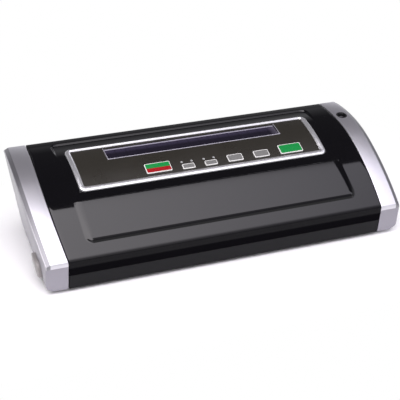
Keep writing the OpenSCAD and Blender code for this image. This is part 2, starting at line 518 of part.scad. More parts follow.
// ---- lid ----
lbx = box_half - 9.7;
lid_boss = [[-lbx, -22], [lbx, -22], [8 - lbx, 44], [lbx - 8, 44]];
module field_top() // prism above the raised field's flat top
    translate([-200, -17, arch(-17)]) rotate([atan(field_slope), 0, 0]) translate([0, -140, 0]) cube([400, 200, 60]);
module lid_cover() color([0.09, 0.09, 0.1]) difference() {
    union() {
        // skin with the rounded front edge and the front lip
        intersection() {
            xprism(-180, 180) difference() {
                intersection() { under_arch(0); side2d(lip_z, 130, 0, 0); }
                intersection() { under_arch(skin); side2d(0, 130, skin, -40); }
                front_edge2d(edge_r);
            }
            up(10, 130) lid_plan();
        }
        // back wall and side walls
        xprism(0.4 - xs(yb), xs(yb) - 0.4) intersection() {
            under_arch(1);
            translate([yb - skin, back_z]) square([skin, 80]);
        }
        for (s = [-1, 1]) xprism(s > 0 ? box_half - wall : -box_half, s > 0 ? box_half : -box_half + wall)
            intersection() {
                under_arch(1);
                polygon([[front_y(22.2) + 1, 22.2], [-1, 22.2], [-1, back_z], [yb - 1, back_z], [yb - 1, 130], [-60, 130]]);
            }
        // raised front field
        intersection() {
            difference() {
                up(30, 110) {
                    translate([-field_half, field_y + 6]) square([2 * field_half, -16 - field_y]);
                    translate([-field_half + 6, field_y]) square([2 * field_half - 12, 7]);
                    for (x = [-1, 1]) translate([x * (field_half - 6), field_y + 6]) circle(r = 6, $fn = 48);
                }
                field_top();
            }
            xprism(-180, 180) difference() { under_arch(-10); under_arch(1); }
        }
        // hinge arms
        for (s = [-1, 1]) translate([s * hinge_x - 5.9, 0, 0]) {
            translate([0, hinge_y, hinge_z]) rotate([0, 90, 0]) cylinder(r = 4.4, h = 11.8);
            translate([0, hinge_y - 4.4, hinge_z]) cube([11.8, 8.8, 34]);
            translate([0, hinge_y - 1, hinge_z + 4]) cube([11.8, yb - hinge_y, 30]);
        }
        // bosses for the liner and the control board
        for (b = lid_boss) intersection() {
            translate([b[0], b[1], b[1] < 0 ? 24.8 : 56.4]) cylinder(r = 3.2, h = 60);
            xprism(-180, 180) under_arch(1);
        }
        for (x = [-98, 106], y = [13.4]) translate([x, y, arch(y) - 5.5]) cylinder(r = 2.6, h = 4.2);
    }
    // hinge bores and clearance for the base lugs
    for (s = [-1, 1]) {
        translate([s * hinge_x - 14, hinge_y, hinge_z]) rotate([0, 90, 0]) cylinder(r = pin_r + pin_fit, h = 28);
        for (o = [-9.3, 9.3]) translate([s * hinge_x + o - 3.4, yb - 6, back_z - 2]) cube([6.8, 9, 13.5]);
    }
    // seat of the panel, openings for keys, lamps and window
    arch_slab(-6, 0.8) rrect(-frame_half - 0.1, frame_half + 0.1, frame_y0 - 0.1, frame_y1 + 0.1, 6.1);
    for (k = keys) on_lid(k[0], k[3]) translate([0, 0, -6]) linear_extrude(12)
        rrect(-k[1] / 2 - 0.5, k[1] / 2 + 0.5, -k[2] / 2 - 0.5, k[2] / 2 + 0.5, 1.5);
    for (x = leds) on_lid(x, led_y) translate([0, 0, -6]) cylinder(r = 1.5, h = 12, $fn = 32);
    arch_slab(-3, skin - 0.4) translate([win[0] - 0.2, win[2] - 0.2]) square([win[1] - win[0] + 0.4, win[3] - win[2] + 0.4]);
    up(60, 130) rrect(win[0] + 2, win[1] - 2, win[2] + 2, win[3] - 2, 1.5);
    // shallow hollow behind the panel
    intersection() {
        up(80, 130) rrect(-field_half, field_half, 20, 66.6, 6);
        translate([-200, 38, arch(38)]) rotate([atan((arch(66.6) - hollow_h - arch(38)) / 28.6), 0, 0]) cube([400, 40, 20]);
    }
    // latch window in the side walls, liner and board screw holes
    for (s = [-1, 1]) translate([s * box_half - 5, rb_y - 6.5, 20]) cube([10, 13, 15]);
    for (b = lid_boss) translate([b[0], b[1], 20]) cylinder(r = 1.15, h = b[1] < 0 ? 16 : 48, $fn = 24);
}
module lid_liner() color([0.16, 0.16, 0.17]) difference() {
    hx = box_half - wall - 0.3;
    union() {
        xprism(-hx, hx) polygon([[front_y(22.4) + skin + 0.3, 22.4], [front_y(24.6) + skin + 0.3, 24.6], [-2.6, 24.6], [-2.6, 56.2],
            [yb - skin - 0.3, 56.2], [yb - skin - 0.3, 54], [-0.4, 54], [-0.4, 22.4]]);
        up(23, 32.6) rrect(-trough_half - 2, trough_half + 2, trough[0] - 2, trough[1] + 2, 7);
        up(23, 26.4) rrect(-trough_half - 8.5, trough_half + 8.5, trough[0] - 8.5, trough[1] + 8.5, 12);
        up(23, 26.4) rrect(-bar_half - 2, bar_half + 2, -61.6, -50.4, 2);
        for (x = [-120 : 60 : 120]) translate([x - 0.8, -66, 24]) cube([1.6, 60, 4]);
    }
    up(20, 30.6) rrect(-trough_half, trough_half, trough[0], trough[1], 5);
    up(20, 23.6) ring_plan(trough_half + 7.2, trough[0] - 7.2, trough[1] + 7.2, gasket_w + 0.4, 11);
    up(20, 23.6) rrect(-bar_half - 0.2, bar_half + 0.2, -56 - bar_w / 2 - 0.2, -56 + bar_w / 2 + 0.2, 1);
    for (s = [-1, 1]) {
        translate([s * hinge_x - 14, hinge_y - 8, 50]) cube([28, 30, 12]);
        translate([s > 0 ? bar_half + 2.2 : -bar_half - 22.2, rb_y - 7, 20]) cube([20, 14, 12]);
    }
    for (b = lid_boss) translate([b[0], b[1], 20]) cylinder(r = 1.6, h = 50, $fn = 24);
}
module upper_gasket() color("black") up(19.9, 23.5)
    ring_plan(trough_half + 7, trough[0] - 7, trough[1] + 7, gasket_w, 10.8);
module pressure_strip() color("maroon") up(19.9, 23.5)
    rrect(-bar_half, bar_half, -56 - bar_w / 2, -56 + bar_w / 2, 0.8);
module panel_frame() color("silver") arch_slab(-frame_h, 0.75) difference() {
    rrect(-frame_half, frame_half, frame_y0, frame_y1, 6);
    rrect(-frame_half + rail_w, frame_half - rail_w, frame_y0 + rail_w - 0.4, frame_y1 - 3, 1.6);
}
module panel_overlay() color([0.2, 0.2, 0.18]) difference() {
    arch_slab(0, 0.75) rrect(-frame_half + rail_w + 0.05, frame_half - rail_w - 0.05, frame_y0 + rail_w - 0.35, frame_y1 - 3.05, 1.5);
    for (k = keys) on_lid(k[0], k[3]) translate([0, 0, -6]) linear_extrude(12)
        rrect(-k[1] / 2 - key_gap, k[1] / 2 + key_gap, -k[2] / 2 - key_gap, k[2] / 2 + key_gap, 1.4);
    for (x = leds) on_lid(x, led_y) translate([0, 0, -6]) cylinder(r = 1.35, h = 12, $fn = 32);
    up(60, 130) rrect(win[0], win[1], win[2], win[3], 2);
}
module window_lens() color([0.2, 0.18, 0.3]) arch_slab(1.2, skin - 0.45)
    translate([win[0], win[2]]) square([win[1] - win[0], win[3] - win[2]]);
module lamp_lenses() color("white") for (x = leds) on_lid(x, led_y) translate([0, 0, -4]) cylinder(r = 1.3, h = 4.1, $fn = 32);
module control_board() color("darkgreen") {
    on_lid(2, 2.6) difference() {
        union() {
            translate([-106, -8, -8]) cube([216, 24, 1.6]);
            for (k = keys) translate([k[0] - 2 - 2.5, -2.5, -6.5]) cube([5, 5, 2.2]);
        }
        for (x = [-100, 104]) translate([x, 12, -9]) cylinder(r = 1.5, h = 6, $fn = 24);
    }
}
module display_module() color("navy") translate([win[0] + 6, win[2] + 3, arch(34) - 9.3]) rotate([14, 0, 0]) {
    cube([win[1] - win[0] - 12, 11, 4.4]);
    for (i = [0:7]) translate([4 + i * 23, 1.5, -1.6]) cube([14, 8, 1.7]);
}
module striker(s) {
    x0 = box_half - wall;
    mirror([s < 0 ? 1 : 0, 0, 0]) difference() {
        union() {
            translate([x0 - 1.2, rb_y - 10, 35.4]) cube([1.1, 20, 9]);
            translate([x0 - 2.6, rb_y - 4, 33]) cube([2.5, 8, 2.6]);
        }
        for (y = [-7.5, 7.5]) translate([x0 - 3, rb_y + y, 41]) rotate([0, 90, 0]) cylinder(r = 1.1, h = 6, $fn = 24);
    }
}
module left_striker() color("silver") striker(-1);
module right_striker() color("silver") striker(1);
module liner_screws() color("silver") for (b = lid_boss)
    translate([b[0], b[1], b[1] < 0 ? 22.3 : 53.9]) { cylinder(r = 1.1, h = 9); translate([0, 0, -1.6]) cylinder(r = 2.6, h = 1.6); }

// ---- keys ----
module key_cap(i) {
    k = keys[i];
    on_lid(k[0], k[3]) {
        translate([0, 0, -1.4]) linear_extrude(1.4 + k[4] - 0.25) rrect(-k[1] / 2, k[1] / 2, -k[2] / 2, k[2] / 2, 1.2);
        translate([0, 0, k[4] - 0.3]) linear_extrude(0.3) rrect(-k[1] / 2 + 0.4, k[1] / 2 - 0.4, -k[2] / 2 + 0.4, k[2] / 2 - 0.4, 1);
        translate([0, -min(1, k[3] - 2.6), -3.1]) cylinder(r = 1.6, h = 2, $fn = 32);
    }
}
module power_key() color("green") key_cap(0);
module left_mode_key() color("gray") key_cap(1);
module right_mode_key() color("gray") key_cap(2);
module seal_time_key() color("gray") key_cap(3);
module food_key() color("gray") key_cap(4);
module start_key() color("green") key_cap(5);

// ---- release buttons ----
module release_button(s) mirror([s < 0 ? 1 : 0, 0, 0]) {
    xf = xo(rb_y) - 11.6;    // inner face of the flange
    xh = box_half - 9.1;     // inner end of the latch hook
    intersection() {
        xprism(xf + 2.2, hw + 10) button_outline(0);
        translate([xo(rb_y) + button_out - 60, rb_y, rb_z]) sphere(r = 60);
    }
    // flange behind the wall, guide stem, latch arm and hook
    xprism(xf, xf + 2.4) intersection() {
        button_outline(1.6);
        translate([rb_y - 20, zb + wall + 3.4]) square([40, 40]);
    }
    translate([xf - 3.8, rb_y, rb_z - 1.5]) rotate([0, 90, 0]) cylinder(r = 2.2, h = 5);
    translate([xh, rb_y - 4, rb_z + 8.4]) cube([xf + 1.6 - xh, 8, 2.4]);
    translate([xh, rb_y - 4, rb_z + 10.6]) cube([2.4, 8, 2.6]);
}
module left_release_button() color("gray") release_button(-1);
module right_release_button() color("gray") release_button(1);
module release_spring(s) {
    x0 = xs(rb_y) + cheek_in + wall + 0.75;
    turns = 3.5; r = 3.3; w = 0.35; m = 8; n = turns * 20; len = xo(rb_y) - 11.7 - x0;
    mirror([s < 0 ? 1 : 0, 0, 0]) translate([x0, rb_y, rb_z - 1.5]) rotate([0, 90, 0])
        polyhedron(points = [for (i = [0:n], j = [0:m - 1]) let (a = 360 * turns * i / n, c = 360 * j / m)
                [(r + w * cos(c)) * cos(a), (r + w * cos(c)) * sin(a), w + (len - 2 * w) * i / n + w * sin(c)]],
            faces = concat([[for (j = [0:m - 1]) j]],
                [for (i = [0:n - 1], j = [0:m - 1]) let (a = m * i + j, b = m * i + (j + 1) % m) each
                    [[a, a + m, b], [b, a + m, b + m]]],
                [[for (j = [m - 1:-1:0]) n * m + j]]));
}
module left_release_spring() color("silver") release_spring(-1);
module right_release_spring() color("silver") release_spring(1);

base_tray();
top_deck();
left_housing();
right_housing();
left_trim();
right_trim();
seal_bar();
seal_wire();
seal_tape();
lower_gasket();
chamber_inlet();
pump_motor();
pump_head();
pump_crank();
suction_hose();
port_hose();
hose_port();
transformer_core();
transformer_coil();
main_board();
air_valve();
power_inlet();
inlet_pins();
front_left_foot();
front_right_foot();
back_left_foot();
back_right_foot();
left_hinge_pin();
right_hinge_pin();
floor_screws();
lid_cover();
lid_liner();
upper_gasket();
pressure_strip();
panel_frame();
panel_overlay();
window_lens();
lamp_lenses();
control_board();
display_module();
left_striker();
right_striker();
liner_screws();
power_key();
left_mode_key();
right_mode_key();
seal_time_key();
food_key();
start_key();
left_release_button();
right_release_button();
left_release_spring();
right_release_spring();
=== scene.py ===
"""Finishes and smooth skins for a household vacuum sealer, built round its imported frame."""

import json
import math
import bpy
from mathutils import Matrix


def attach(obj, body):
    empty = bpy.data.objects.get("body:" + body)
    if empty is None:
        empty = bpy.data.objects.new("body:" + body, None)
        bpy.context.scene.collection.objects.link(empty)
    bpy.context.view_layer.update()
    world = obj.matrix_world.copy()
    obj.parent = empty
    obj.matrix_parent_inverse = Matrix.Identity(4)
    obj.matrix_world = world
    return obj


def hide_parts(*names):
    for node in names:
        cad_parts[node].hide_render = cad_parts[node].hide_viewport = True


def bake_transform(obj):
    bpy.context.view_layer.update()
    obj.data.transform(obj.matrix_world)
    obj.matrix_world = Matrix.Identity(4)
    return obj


bl_info = {
    "name": "Vacuum sealer",
    "version": (1, 0, 0),
    "blender": (4, 5, 0),
    "location": "View3D > Sidebar > Sealer",
    "description": "Dresses the packed bag sealer: lid, side housings, key panel, keys and finishes",
    "category": "Add Mesh",
}

import bmesh
import bpy
import numpy as np
from mathutils import Matrix, Vector

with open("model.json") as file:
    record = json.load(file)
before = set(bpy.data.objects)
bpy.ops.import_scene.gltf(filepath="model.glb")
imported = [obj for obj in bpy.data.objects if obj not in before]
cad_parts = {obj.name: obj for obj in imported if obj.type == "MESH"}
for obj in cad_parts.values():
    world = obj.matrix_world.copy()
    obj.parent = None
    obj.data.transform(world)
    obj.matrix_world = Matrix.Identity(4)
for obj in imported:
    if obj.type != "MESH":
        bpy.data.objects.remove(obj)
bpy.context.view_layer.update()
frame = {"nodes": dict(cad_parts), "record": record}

MM = 0.001

# ---------------------------------------------------------------- the body's own curves, in millimetres

BACK = 75.7  # half the depth
CROWN = 97.1  # height at the back edge
REAR_R, FRONT_R, JOIN = 172.6, 478.0, 3.0  # the two radii of the arch and the y where they meet
REAR_Z = CROWN - REAR_R
JOIN_A = math.asin((BACK - JOIN) / REAR_R)
JOIN_Z = REAR_Z + REAR_R * math.cos(JOIN_A)
FRONT_Y = JOIN + FRONT_R * math.sin(JOIN_A)
FRONT_Z = JOIN_Z - FRONT_R * math.cos(JOIN_A)
FOOT = 4.0  # underside of the body
FRONT_LEAN = 5.2  # how far the front face leans in from the arch down to the foot
HALF_W, BOW_R, BOW_Y = 195.0, 880.0, 8.8  # the sides in plan: half width, radius and y of the widest place
SEAM_W, SEAM_R, SEAM_S = 172.8, 700.0, 38.0  # the seams in plan: half width, radius, y of the straight end
CHEEK = 0.3  # from the seam to the inner wall of a housing
SWING_GAP, SWING_Y, SWING_SLOPE = 0.12, 48.0, 0.102  # how the lid narrows at the back
CREASE = 8.0  # height at which the side wall starts to lean
SIDE_LEAN_IN = 14.5  # how far the side wall leans in over its height
WALL_TOP = CROWN - 3
TRIM_LOW = 3.8  # from the arch down to the foot of the trims
LID_BACK_FOOT = 55.0  # lower edge of the lid's back half
LIP_FOOT = 19.3  # lower edge of the lid's front lip
LID_WALL = (165.4, 167.8)  # the lid's side walls: inner and outer face
LID_WALL_FOOT, LATCH_TOP = 22.2, 35.0  # their lower edge, and that over the latch window
THROUGH = (60.0, 110.0)  # heights between which a cut goes through the whole top
HINGE_X, HINGE_Y, HINGE_Z = 128.0, 68.0, 60.0
HINGE_LUGS = (-137.3, -118.7, 118.7, 137.3)  # middles of the base's lugs across the width
BUTTON = (-41.0, 19.5, 30.0, 19.0)  # release button: centre y and z, length, height
STEM_Z = BUTTON[1] - 1.5  # axis of the button's stem and spring
PORT_Y, PORT_OFF = 42.0, 9.0  # hose port: its y, and how far it lies out from the seam
FIELD_HALF, FIELD_FRONT, FIELD_BACK = 146.4, -62.2, -19.6  # raised field in plan: half width, front and back
FIELD_STEP = 1.3  # step at the back edge of the raised field
PANEL = (136.4, -10.2, 48.8)  # panel bed in the lid: half width, front and back
PANEL_BED = 0.95  # its depth
RIM = (-136.4, 136.4, -10.3, 48.9)  # outer edge of the panel's rim: x from and to, y from and to
WINDOW = (-96.0, 97.0, 26.0, 43.4)  # display window: x from and to, y from and to
KEYS = {
    # centre x, centre y, width, height along the panel, rise
    "power_key": (-49.5, 4.5, 27.5, 13.0, 0.7),
    "left_mode_key": (-17.5, 0.6, 13.5, 6.6, 0.6),
    "right_mode_key": (7.4, 0.6, 13.5, 6.6, 0.6),
    "seal_time_key": (35.0, 2.2, 17.0, 9.2, 0.6),
    "food_key": (65.0, 2.2, 17.0, 9.2, 0.6),
    "start_key": (99.2, 3.2, 26.0, 12.6, 0.7),
}
LAMPS = (-23.0, -12.2, 1.3, 12.4)
LAMP_Y = 6.6
SIDES = ((-1, "left"), (1, "right"))


def arch(y):
    """Height of the arch over y: a front circle up to JOIN, a tighter rear circle behind it."""
    y = np.asarray(y, float)
    rear = REAR_Z + np.sqrt(np.maximum(REAR_R**2 - (y - BACK) ** 2, 1.0))
    front = FRONT_Z + np.sqrt(FRONT_R**2 - (y - FRONT_Y) ** 2)
    return np.where(y > JOIN, rear, front)


def tilt(y):
    """Slope angle of the arch at y, from the centre of its circle."""
    y = np.asarray(y, float)
    rear = np.arcsin((BACK - y) / REAR_R)
    front = np.arcsin((FRONT_Y - y) / FRONT_R)
    return np.where(y > JOIN, rear, front)


LID_FRONT_Z = float(arch(-BACK))
LEAN = FRONT_LEAN / (LID_FRONT_Z - FOOT)


def front_y(z):
    """The front face: a straight line that leans in toward the foot."""
    return -BACK + (LID_FRONT_Z - np.asarray(z, float)) * LEAN


def outer_x(y):
    """Half width of the whole body: a wide circle in plan."""
    y = np.asarray(y, float)
    return HALF_W - (y - BOW_Y) ** 2 / (2 * BOW_R)


def seam_x(y):
    """Half width at the seam between lid and trim: a wide circle in plan, straight behind SEAM_S."""
    y = np.asarray(y, float)
    return SEAM_W - np.where(y < SEAM_S, y**2 / (2 * SEAM_R), (2 * y - SEAM_S) * SEAM_S / (2 * SEAM_R))


def lid_x(y):
    """Half width of the lid: just inside the seam, and narrower at the back where it swings."""
    y = np.asarray(y, float)
    back = float(seam_x(BACK)) + CHEEK - SWING_GAP + np.maximum(0, SWING_Y - y) * SWING_SLOPE
    return soft_min(seam_x(y) - 0.35, back, 0.3) - 0.02


SIDE_LEAN = SIDE_LEAN_IN / (WALL_TOP - FOOT)
BACK_FALL = (SIDE_LEAN * (WALL_TOP - CREASE) - float(outer_x(BACK) - outer_x(-BACK))) / (2 * BACK)


def lean_x(y, z):
    """Half width of the plane part of the side wall, which leans in toward the back foot."""
    y, z = np.asarray(y, float), np.asarray(z, float)
    return outer_x(-BACK) + (z - CREASE) * SIDE_LEAN - (y + BACK) * BACK_FALL


def soft_min(a, b, r):
    """The smaller of two values, with the corner between them rounded over about r: with h the share of a,
    which goes from 0 to 1 as b - a goes from -r to r, it is b (1 - h) + a h - r h (1 - h)."""
    h = np.clip(0.5 + 0.5 * (b - a) / r, 0, 1)
    return b * (1 - h) + a * h - r * h * (1 - h)


def wall_x(y, z):
    """Half width of the side wall: the bowed upper wall and the leaning plane, joined softly."""
    return soft_min(outer_x(y), lean_x(y, z), 1.5)


def smooth(t):
    """0 to 1 with level ends."""
    t = np.clip(t, 0, 1)
    return t * t * (3 - 2 * t)


# ---------------------------------------------------------------- settings


def length(name, description, default, low, high):
    """A length setting, given in millimetres and kept in metres."""
    return bpy.props.FloatProperty(
        name=name, description=description, default=default * MM, min=low * MM, max=high * MM,
        unit="LENGTH", subtype="DISTANCE", precision=4,
    )


def colour(name, description, default):
    """A colour setting."""
    return bpy.props.FloatVectorProperty(
        name=name, description=description, default=default, size=3, subtype="COLOR", min=0.0, max=1.0
    )


class SealerShape(bpy.types.PropertyGroup):
    """Sizes of the visible skins."""

    field_rise: length("Field rise", "Height of the raised front field at its front edge", 3.3, 1.0, 3.4)
    field_slope: length("Field slope", "Width of the slope at the front of the raised field", 2.6, 1.0, 8.0)
    field_side: length("Field side slope", "Width of the slopes at the field's ends", 8.0, 1.0, 12.0)
    hollow: length("Hollow depth", "Depth of the hollow behind the key panel", 1.8, 0.5, 2.4)
    front_round: length("Front edge radius", "Radius of the lid's front edge", 1.8, 0.5, 3.0)
    lid_round: length("Lid edge radius", "Radius along the sides of the lid", 0.7, 0.2, 1.5)
    trim_round: length("Trim edge radius", "Radius of the edges of the silver trims", 0.8, 0.2, 2.0)
    rim_rise: length("Panel rim rise", "Height of the panel's bright rim above the lid", 1.4, 0.5, 1.5)
    key_round: length("Key corner radius", "Corner radius of the printed keys", 1.2, 0.3, 3.0)


class SealerPaint(bpy.types.PropertyGroup):
    """Colours of the visible finishes."""

    lid: colour("Lid", "Polished black of the lid", (0.0030, 0.0028, 0.0036))
    housing: colour("Housings", "Silver paint of the side housings", (0.275, 0.266, 0.298))
    trim: colour("Trims", "Silver paint of the trims", (0.60, 0.59, 0.63))
    rim: colour("Panel rim", "Bright rim of the key panel", (0.78, 0.78, 0.80))
    film: colour("Panel film", "Dark olive film under the keys", (0.0190, 0.0172, 0.0138))
    window: colour("Window", "Tinted film over the display", (0.009, 0.0075, 0.014))
    green: colour("Green", "Green of the power and start keys", (0.003, 0.185, 0.036))
    red: colour("Red", "Red half of the power key", (0.25, 0.002, 0.005))
    grey: colour("Grey keys", "Grey of the small keys", (0.14, 0.14, 0.135))
    border: colour("Key borders", "Light printed border of the keys", (0.62, 0.62, 0.60))
    button: colour("Buttons", "Warm grey of the release buttons", (0.25, 0.235, 0.23))
    plastic: colour("Inner plastic", "Moulded black of the tray and liner", (0.010, 0.010, 0.011))


# ---------------------------------------------------------------- shader sums


class Tone:
    """A shader value that can be added to, multiplied by and divided by others or by numbers."""

    def __init__(self, finish, socket):
        self.finish, self.socket = finish, socket

    def _with(self, operation, a, b):
        return self.finish.node("ShaderNodeMath", {"operation": operation}, {0: a, 1: b})[0]

    def __add__(self, b):
        return self._with("ADD", self, b)

    def __radd__(self, b):
        return self._with("ADD", b, self)

    def __sub__(self, b):
        return self._with("SUBTRACT", self, b)

    def __rsub__(self, b):
        return self._with("SUBTRACT", b, self)

    def __mul__(self, b):
        return self._with("MULTIPLY", self, b)

    def __rmul__(self, b):
        return self._with("MULTIPLY", b, self)

    def __truediv__(self, b):
        return self._with("DIVIDE", self, b)

    def __pow__(self, b):
        return self._with("POWER", self, b)

    def __abs__(self):
        return self._with("ABSOLUTE", self, 0.0)

    def most(self, b):
        """The larger of two values."""
        return self._with("MAXIMUM", self, b)


def fill_socket(tree, target, value):
    """Puts a number or a colour on a socket, or links a tone or another socket to it."""
    value = value.socket if isinstance(value, Tone) else value
    if isinstance(value, bpy.types.NodeSocket):
        tree.links.new(value, target)
    else:
        target.default_value = value


def add_node(tree, kind, settings=None, sockets=None):
    """Adds a node: its type, its settings, such as the stops of a ramp, then the values or links of its
    sockets."""
    node = tree.nodes.new(kind)
    for key, value in (settings or {}).items():
        if key == "stops":
            ramp = node.color_ramp
            while len(ramp.elements) < len(value):
                ramp.elements.new(0.5)
            for element, (at, shade) in zip(ramp.elements, value):
                element.position, element.color = at, shade
        else:
            setattr(node, key, value)
    for key, value in (sockets or {}).items():
        fill_socket(tree, node.inputs[key], value)
    return node


class Finish:
    """A material in the making. Constants go straight onto the shader's own sockets."""

    def __init__(self, name, base, rough, metal=0.0, **other):
        self.material = bpy.data.materials.new(name)
        self.material.use_nodes = True
        self.tree = self.material.node_tree
        self.shader = self.tree.nodes["Principled BSDF"]
        self.set("Base Color", (*base, 1.0))
        self.set("Roughness", rough)
        self.set("Metallic", metal)
        for socket, value in other.items():
            self.set(socket.replace("_", " "), value)
        self._place = None

    def set(self, socket, value):
        """Puts a number, a colour or a worked-out value on one of the shader's sockets."""
        fill_socket(self.tree, self.shader.inputs[socket], value)

    def node(self, kind, settings=None, sockets=None):
        """Adds a node to the material. Gives its outputs as tones."""
        return [Tone(self, s) for s in add_node(self.tree, kind, settings, sockets).outputs]

    def place(self):
        """Object coordinates."""
        if self._place is None:
            self._place = self.node("ShaderNodeTexCoord")[3]
        return self._place

    def xyz(self):
        """Object coordinates as three numbers, in metres."""
        return self.node("ShaderNodeSeparateXYZ", None, {0: self.place()})

    def noise(self, scale, detail=3.0, rough=0.5, stretch=(1, 1, 1)):
        """Noise from 0 to 1 at a scale given in grains per metre."""
        at = self.place()
        if stretch != (1, 1, 1):
            at = self.node("ShaderNodeMapping", None, {"Vector": at, "Scale": stretch})[0]
        values = {"Vector": at, "Scale": scale, "Detail": detail, "Roughness": rough}
        return self.node("ShaderNodeTexNoise", None, values)[0]

    def mix(self, part, a, b):
        """Colour a where part is 0, b where it is 1."""
        rgba = [c if isinstance(c, Tone) else (*c[:3], 1.0) for c in (a, b)]
        return self.node("ShaderNodeMix", {"data_type": "RGBA"}, {0: part, 6: rgba[0], 7: rgba[1]})[2]

    def bump(self, height, distance, strength):
        """Fine relief on the surface."""
        values = {"Height": height, "Distance": distance, "Strength": strength}
        self.set("Normal", self.node("ShaderNodeBump", None, values)[0])


def ramp01(value, low, high):
    """0 below low, 1 above high, straight between."""
    f = value.finish
    return f.node("ShaderNodeMapRange", None, {0: value, 1: low, 2: high, 3: 0.0, 4: 1.0})[0]


def shades(base, low, high):
    """Two shades of one colour, for a pattern to mix."""
    return [min(1.0, c * low) for c in base], [min(1.0, c * high) for c in base]


def flake_paint(f, base, rough, flake):
    """Silver paint: fine flakes in the colour and the relief, and a slow change of gloss. Gives colour and
    gloss."""
    grains, cloud = f.noise(2600.0, 1.0), f.noise(12.0, 1.0)
    f.bump(grains, 0.000001, 0.3)
    tone = f.mix(grains * 0.8 + cloud * 0.2, *shades(base, 1 - flake, 1 + flake))
    return tone, rough - 0.015 + 0.03 * cloud


FINISHES = {}
SATIN_COAT = {"Coat_Weight": 0.25, "Coat_Roughness": 0.2}


def finish_moulded(name, base, rough, grain=0.00002, scale=1400.0, **other):
    """Moulded plastic: a fine spark-eroded grain and slight changes of gloss."""
    f = Finish(name, base, rough, **other)
    wide = f.noise(35.0, 2.0)
    f.set("Roughness", rough - 0.05 + 0.10 * wide)
    f.set("Base Color", f.mix(wide, *shades(base, 0.92, 1.08)))
    f.bump(f.noise(scale, 2.0), grain, 0.6)
    return f.material


def finish_lid(name, base):
    """Black lid: a thick clear coat on top, which thins out over the front edge and is almost gone on the
    lip, and is duller toward the hinge. A dark line runs along the foot of the raised field."""
    f = Finish(name, base, 0.5, Specular_IOR_Level=0.0, Coat_Roughness=0.045)
    x, y, z = f.xyz()
    lip = ramp01(z, 0.0268, 0.0285) * 0.21 + ramp01(z, 0.0358, 0.0372) * 0.74 + 0.01
    behind = ramp01(y, -0.0680, -0.0640)
    hinge = 1.0 - ramp01(y, 0.0635, 0.0670) * 0.55
    foot = FIELD_FRONT * MM
    line = ramp01(y, foot - 0.0005, foot + 0.0003) * ramp01(y, foot + 0.0022, foot + 0.0016)
    line = line * ramp01(abs(x), 0.1410, 0.1395)
    f.set("Coat Weight", lip.most(behind * 0.96) * hinge * (1.0 - line * 0.85))
    f.set("Base Color", f.mix(f.noise(25.0, 2.0), *shades(base, 0.9, 1.12)))
    return f.material


def finish_silver(name, base, rough, metal, flake):
    """Silver paint on plastic: metal flakes in the colour and a satin clear coat."""
    f = Finish(name, base, rough, metal, **SATIN_COAT)
    tone, gloss = flake_paint(f, base, rough, flake)
    f.set("Base Color", tone)
    f.set("Roughness", gloss)
    return f.material


def finish_trim(name, base):
    """Silver paint of the trims, duller on the bevel along the outer edge, with painted shade darkening the
    bevel's colour and a painted highlight as a light line on its rim. The distance from the outer edge is
    worked out from the bow of the sides."""
    f = Finish(name, base, 0.30, 0.85, **SATIN_COAT)
    x, y, _ = f.xyz()
    off = y - BOW_Y * MM
    d = (HALF_W * MM - off * off * (1 / (2 * BOW_R * MM))) - abs(x)
    # painted shade darkens the bevel's colour, and a painted highlight lightens a line along its rim; the
    # bevel is also duller
    bevel = ramp01(d, 0.0048, 0.0042) - ramp01(d, 0.0009, 0.0006) * 0.6
    even, gloss = flake_paint(f, base, 0.30, 0.03)
    f.set("Base Color", f.mix(bevel * 0.62, even, (0.02, 0.02, 0.022)))
    f.set("Roughness", gloss + 0.10 * bevel)
    return f.material


def finish_metal(name, base, rough, stretch, scale):
    """Plated or drawn metal with fine lines along one direction."""
    f = Finish(name, base, rough, 1.0)
    drawn = f.noise(scale, 3.0, 0.6, stretch)
    f.set("Roughness", rough - 0.06 + 0.12 * drawn)
    f.set("Base Color", f.mix(drawn, *shades(base, 0.9, 1.07)))
    f.bump(drawn, 0.000008, 0.5)
    return f.material


def finish_rubber(name, base, rough, scale, pores):
    """Rubber or closed-cell foam: matt, with small pores."""
    f = Finish(name, base, rough)
    cells = f.node("ShaderNodeTexVoronoi", None, {"Vector": f.place(), "Scale": scale})[0]
    f.set("Base Color", f.mix(cells, *shades(base, 1.15, 0.8)))
    f.set("Roughness", rough - 0.06 + 0.1 * cells)
    f.bump(cells, pores, 0.5)
    return f.material


def finish_board(name, base):
    """Circuit board: green lacquer over faint tracks."""
    f = Finish(name, base, 0.35, Coat_Weight=0.4)
    values = {"Vector": f.place(), "Scale": 260.0, "Distortion": 6.0, "Detail": 2.0}
    tracks = ramp01(f.node("ShaderNodeTexWave", {"bands_direction": "X"}, values)[1], 0.62, 0.70)
    f.set("Base Color", f.mix(tracks, *shades(base, 1.0, 1.9)))
    f.bump(tracks, 0.00003, 0.4)
    return f.material


def finish_cloth(name, base):
    """Coated glass cloth: a plain weave under a satin coat."""
    f = Finish(name, base, 0.5, Coat_Weight=0.2)
    weave = f.node("ShaderNodeTexChecker", None, {"Vector": f.place(), "Scale": 1600.0})[1]
    f.set("Base Color", f.mix(weave, *shades(base, 0.85, 1.1)))
    f.bump(weave, 0.00002, 0.5)
    return f.material


def finish_lamination(name, base):
    """Stacked steel sheets: fine dark lines between the sheets."""
    f = Finish(name, base, 0.42, 0.8)
    values = {"Vector": f.place(), "Scale": 330.0, "Distortion": 0.2}
    sheet = f.node("ShaderNodeTexWave", {"bands_direction": "Y"}, values)[1]
    f.set("Base Color", f.mix(sheet, *shades(base, 0.55, 1.0)))
    f.bump(sheet, 0.00008, 0.6)
    return f.material


# ---------------------------------------------------------------- meshes


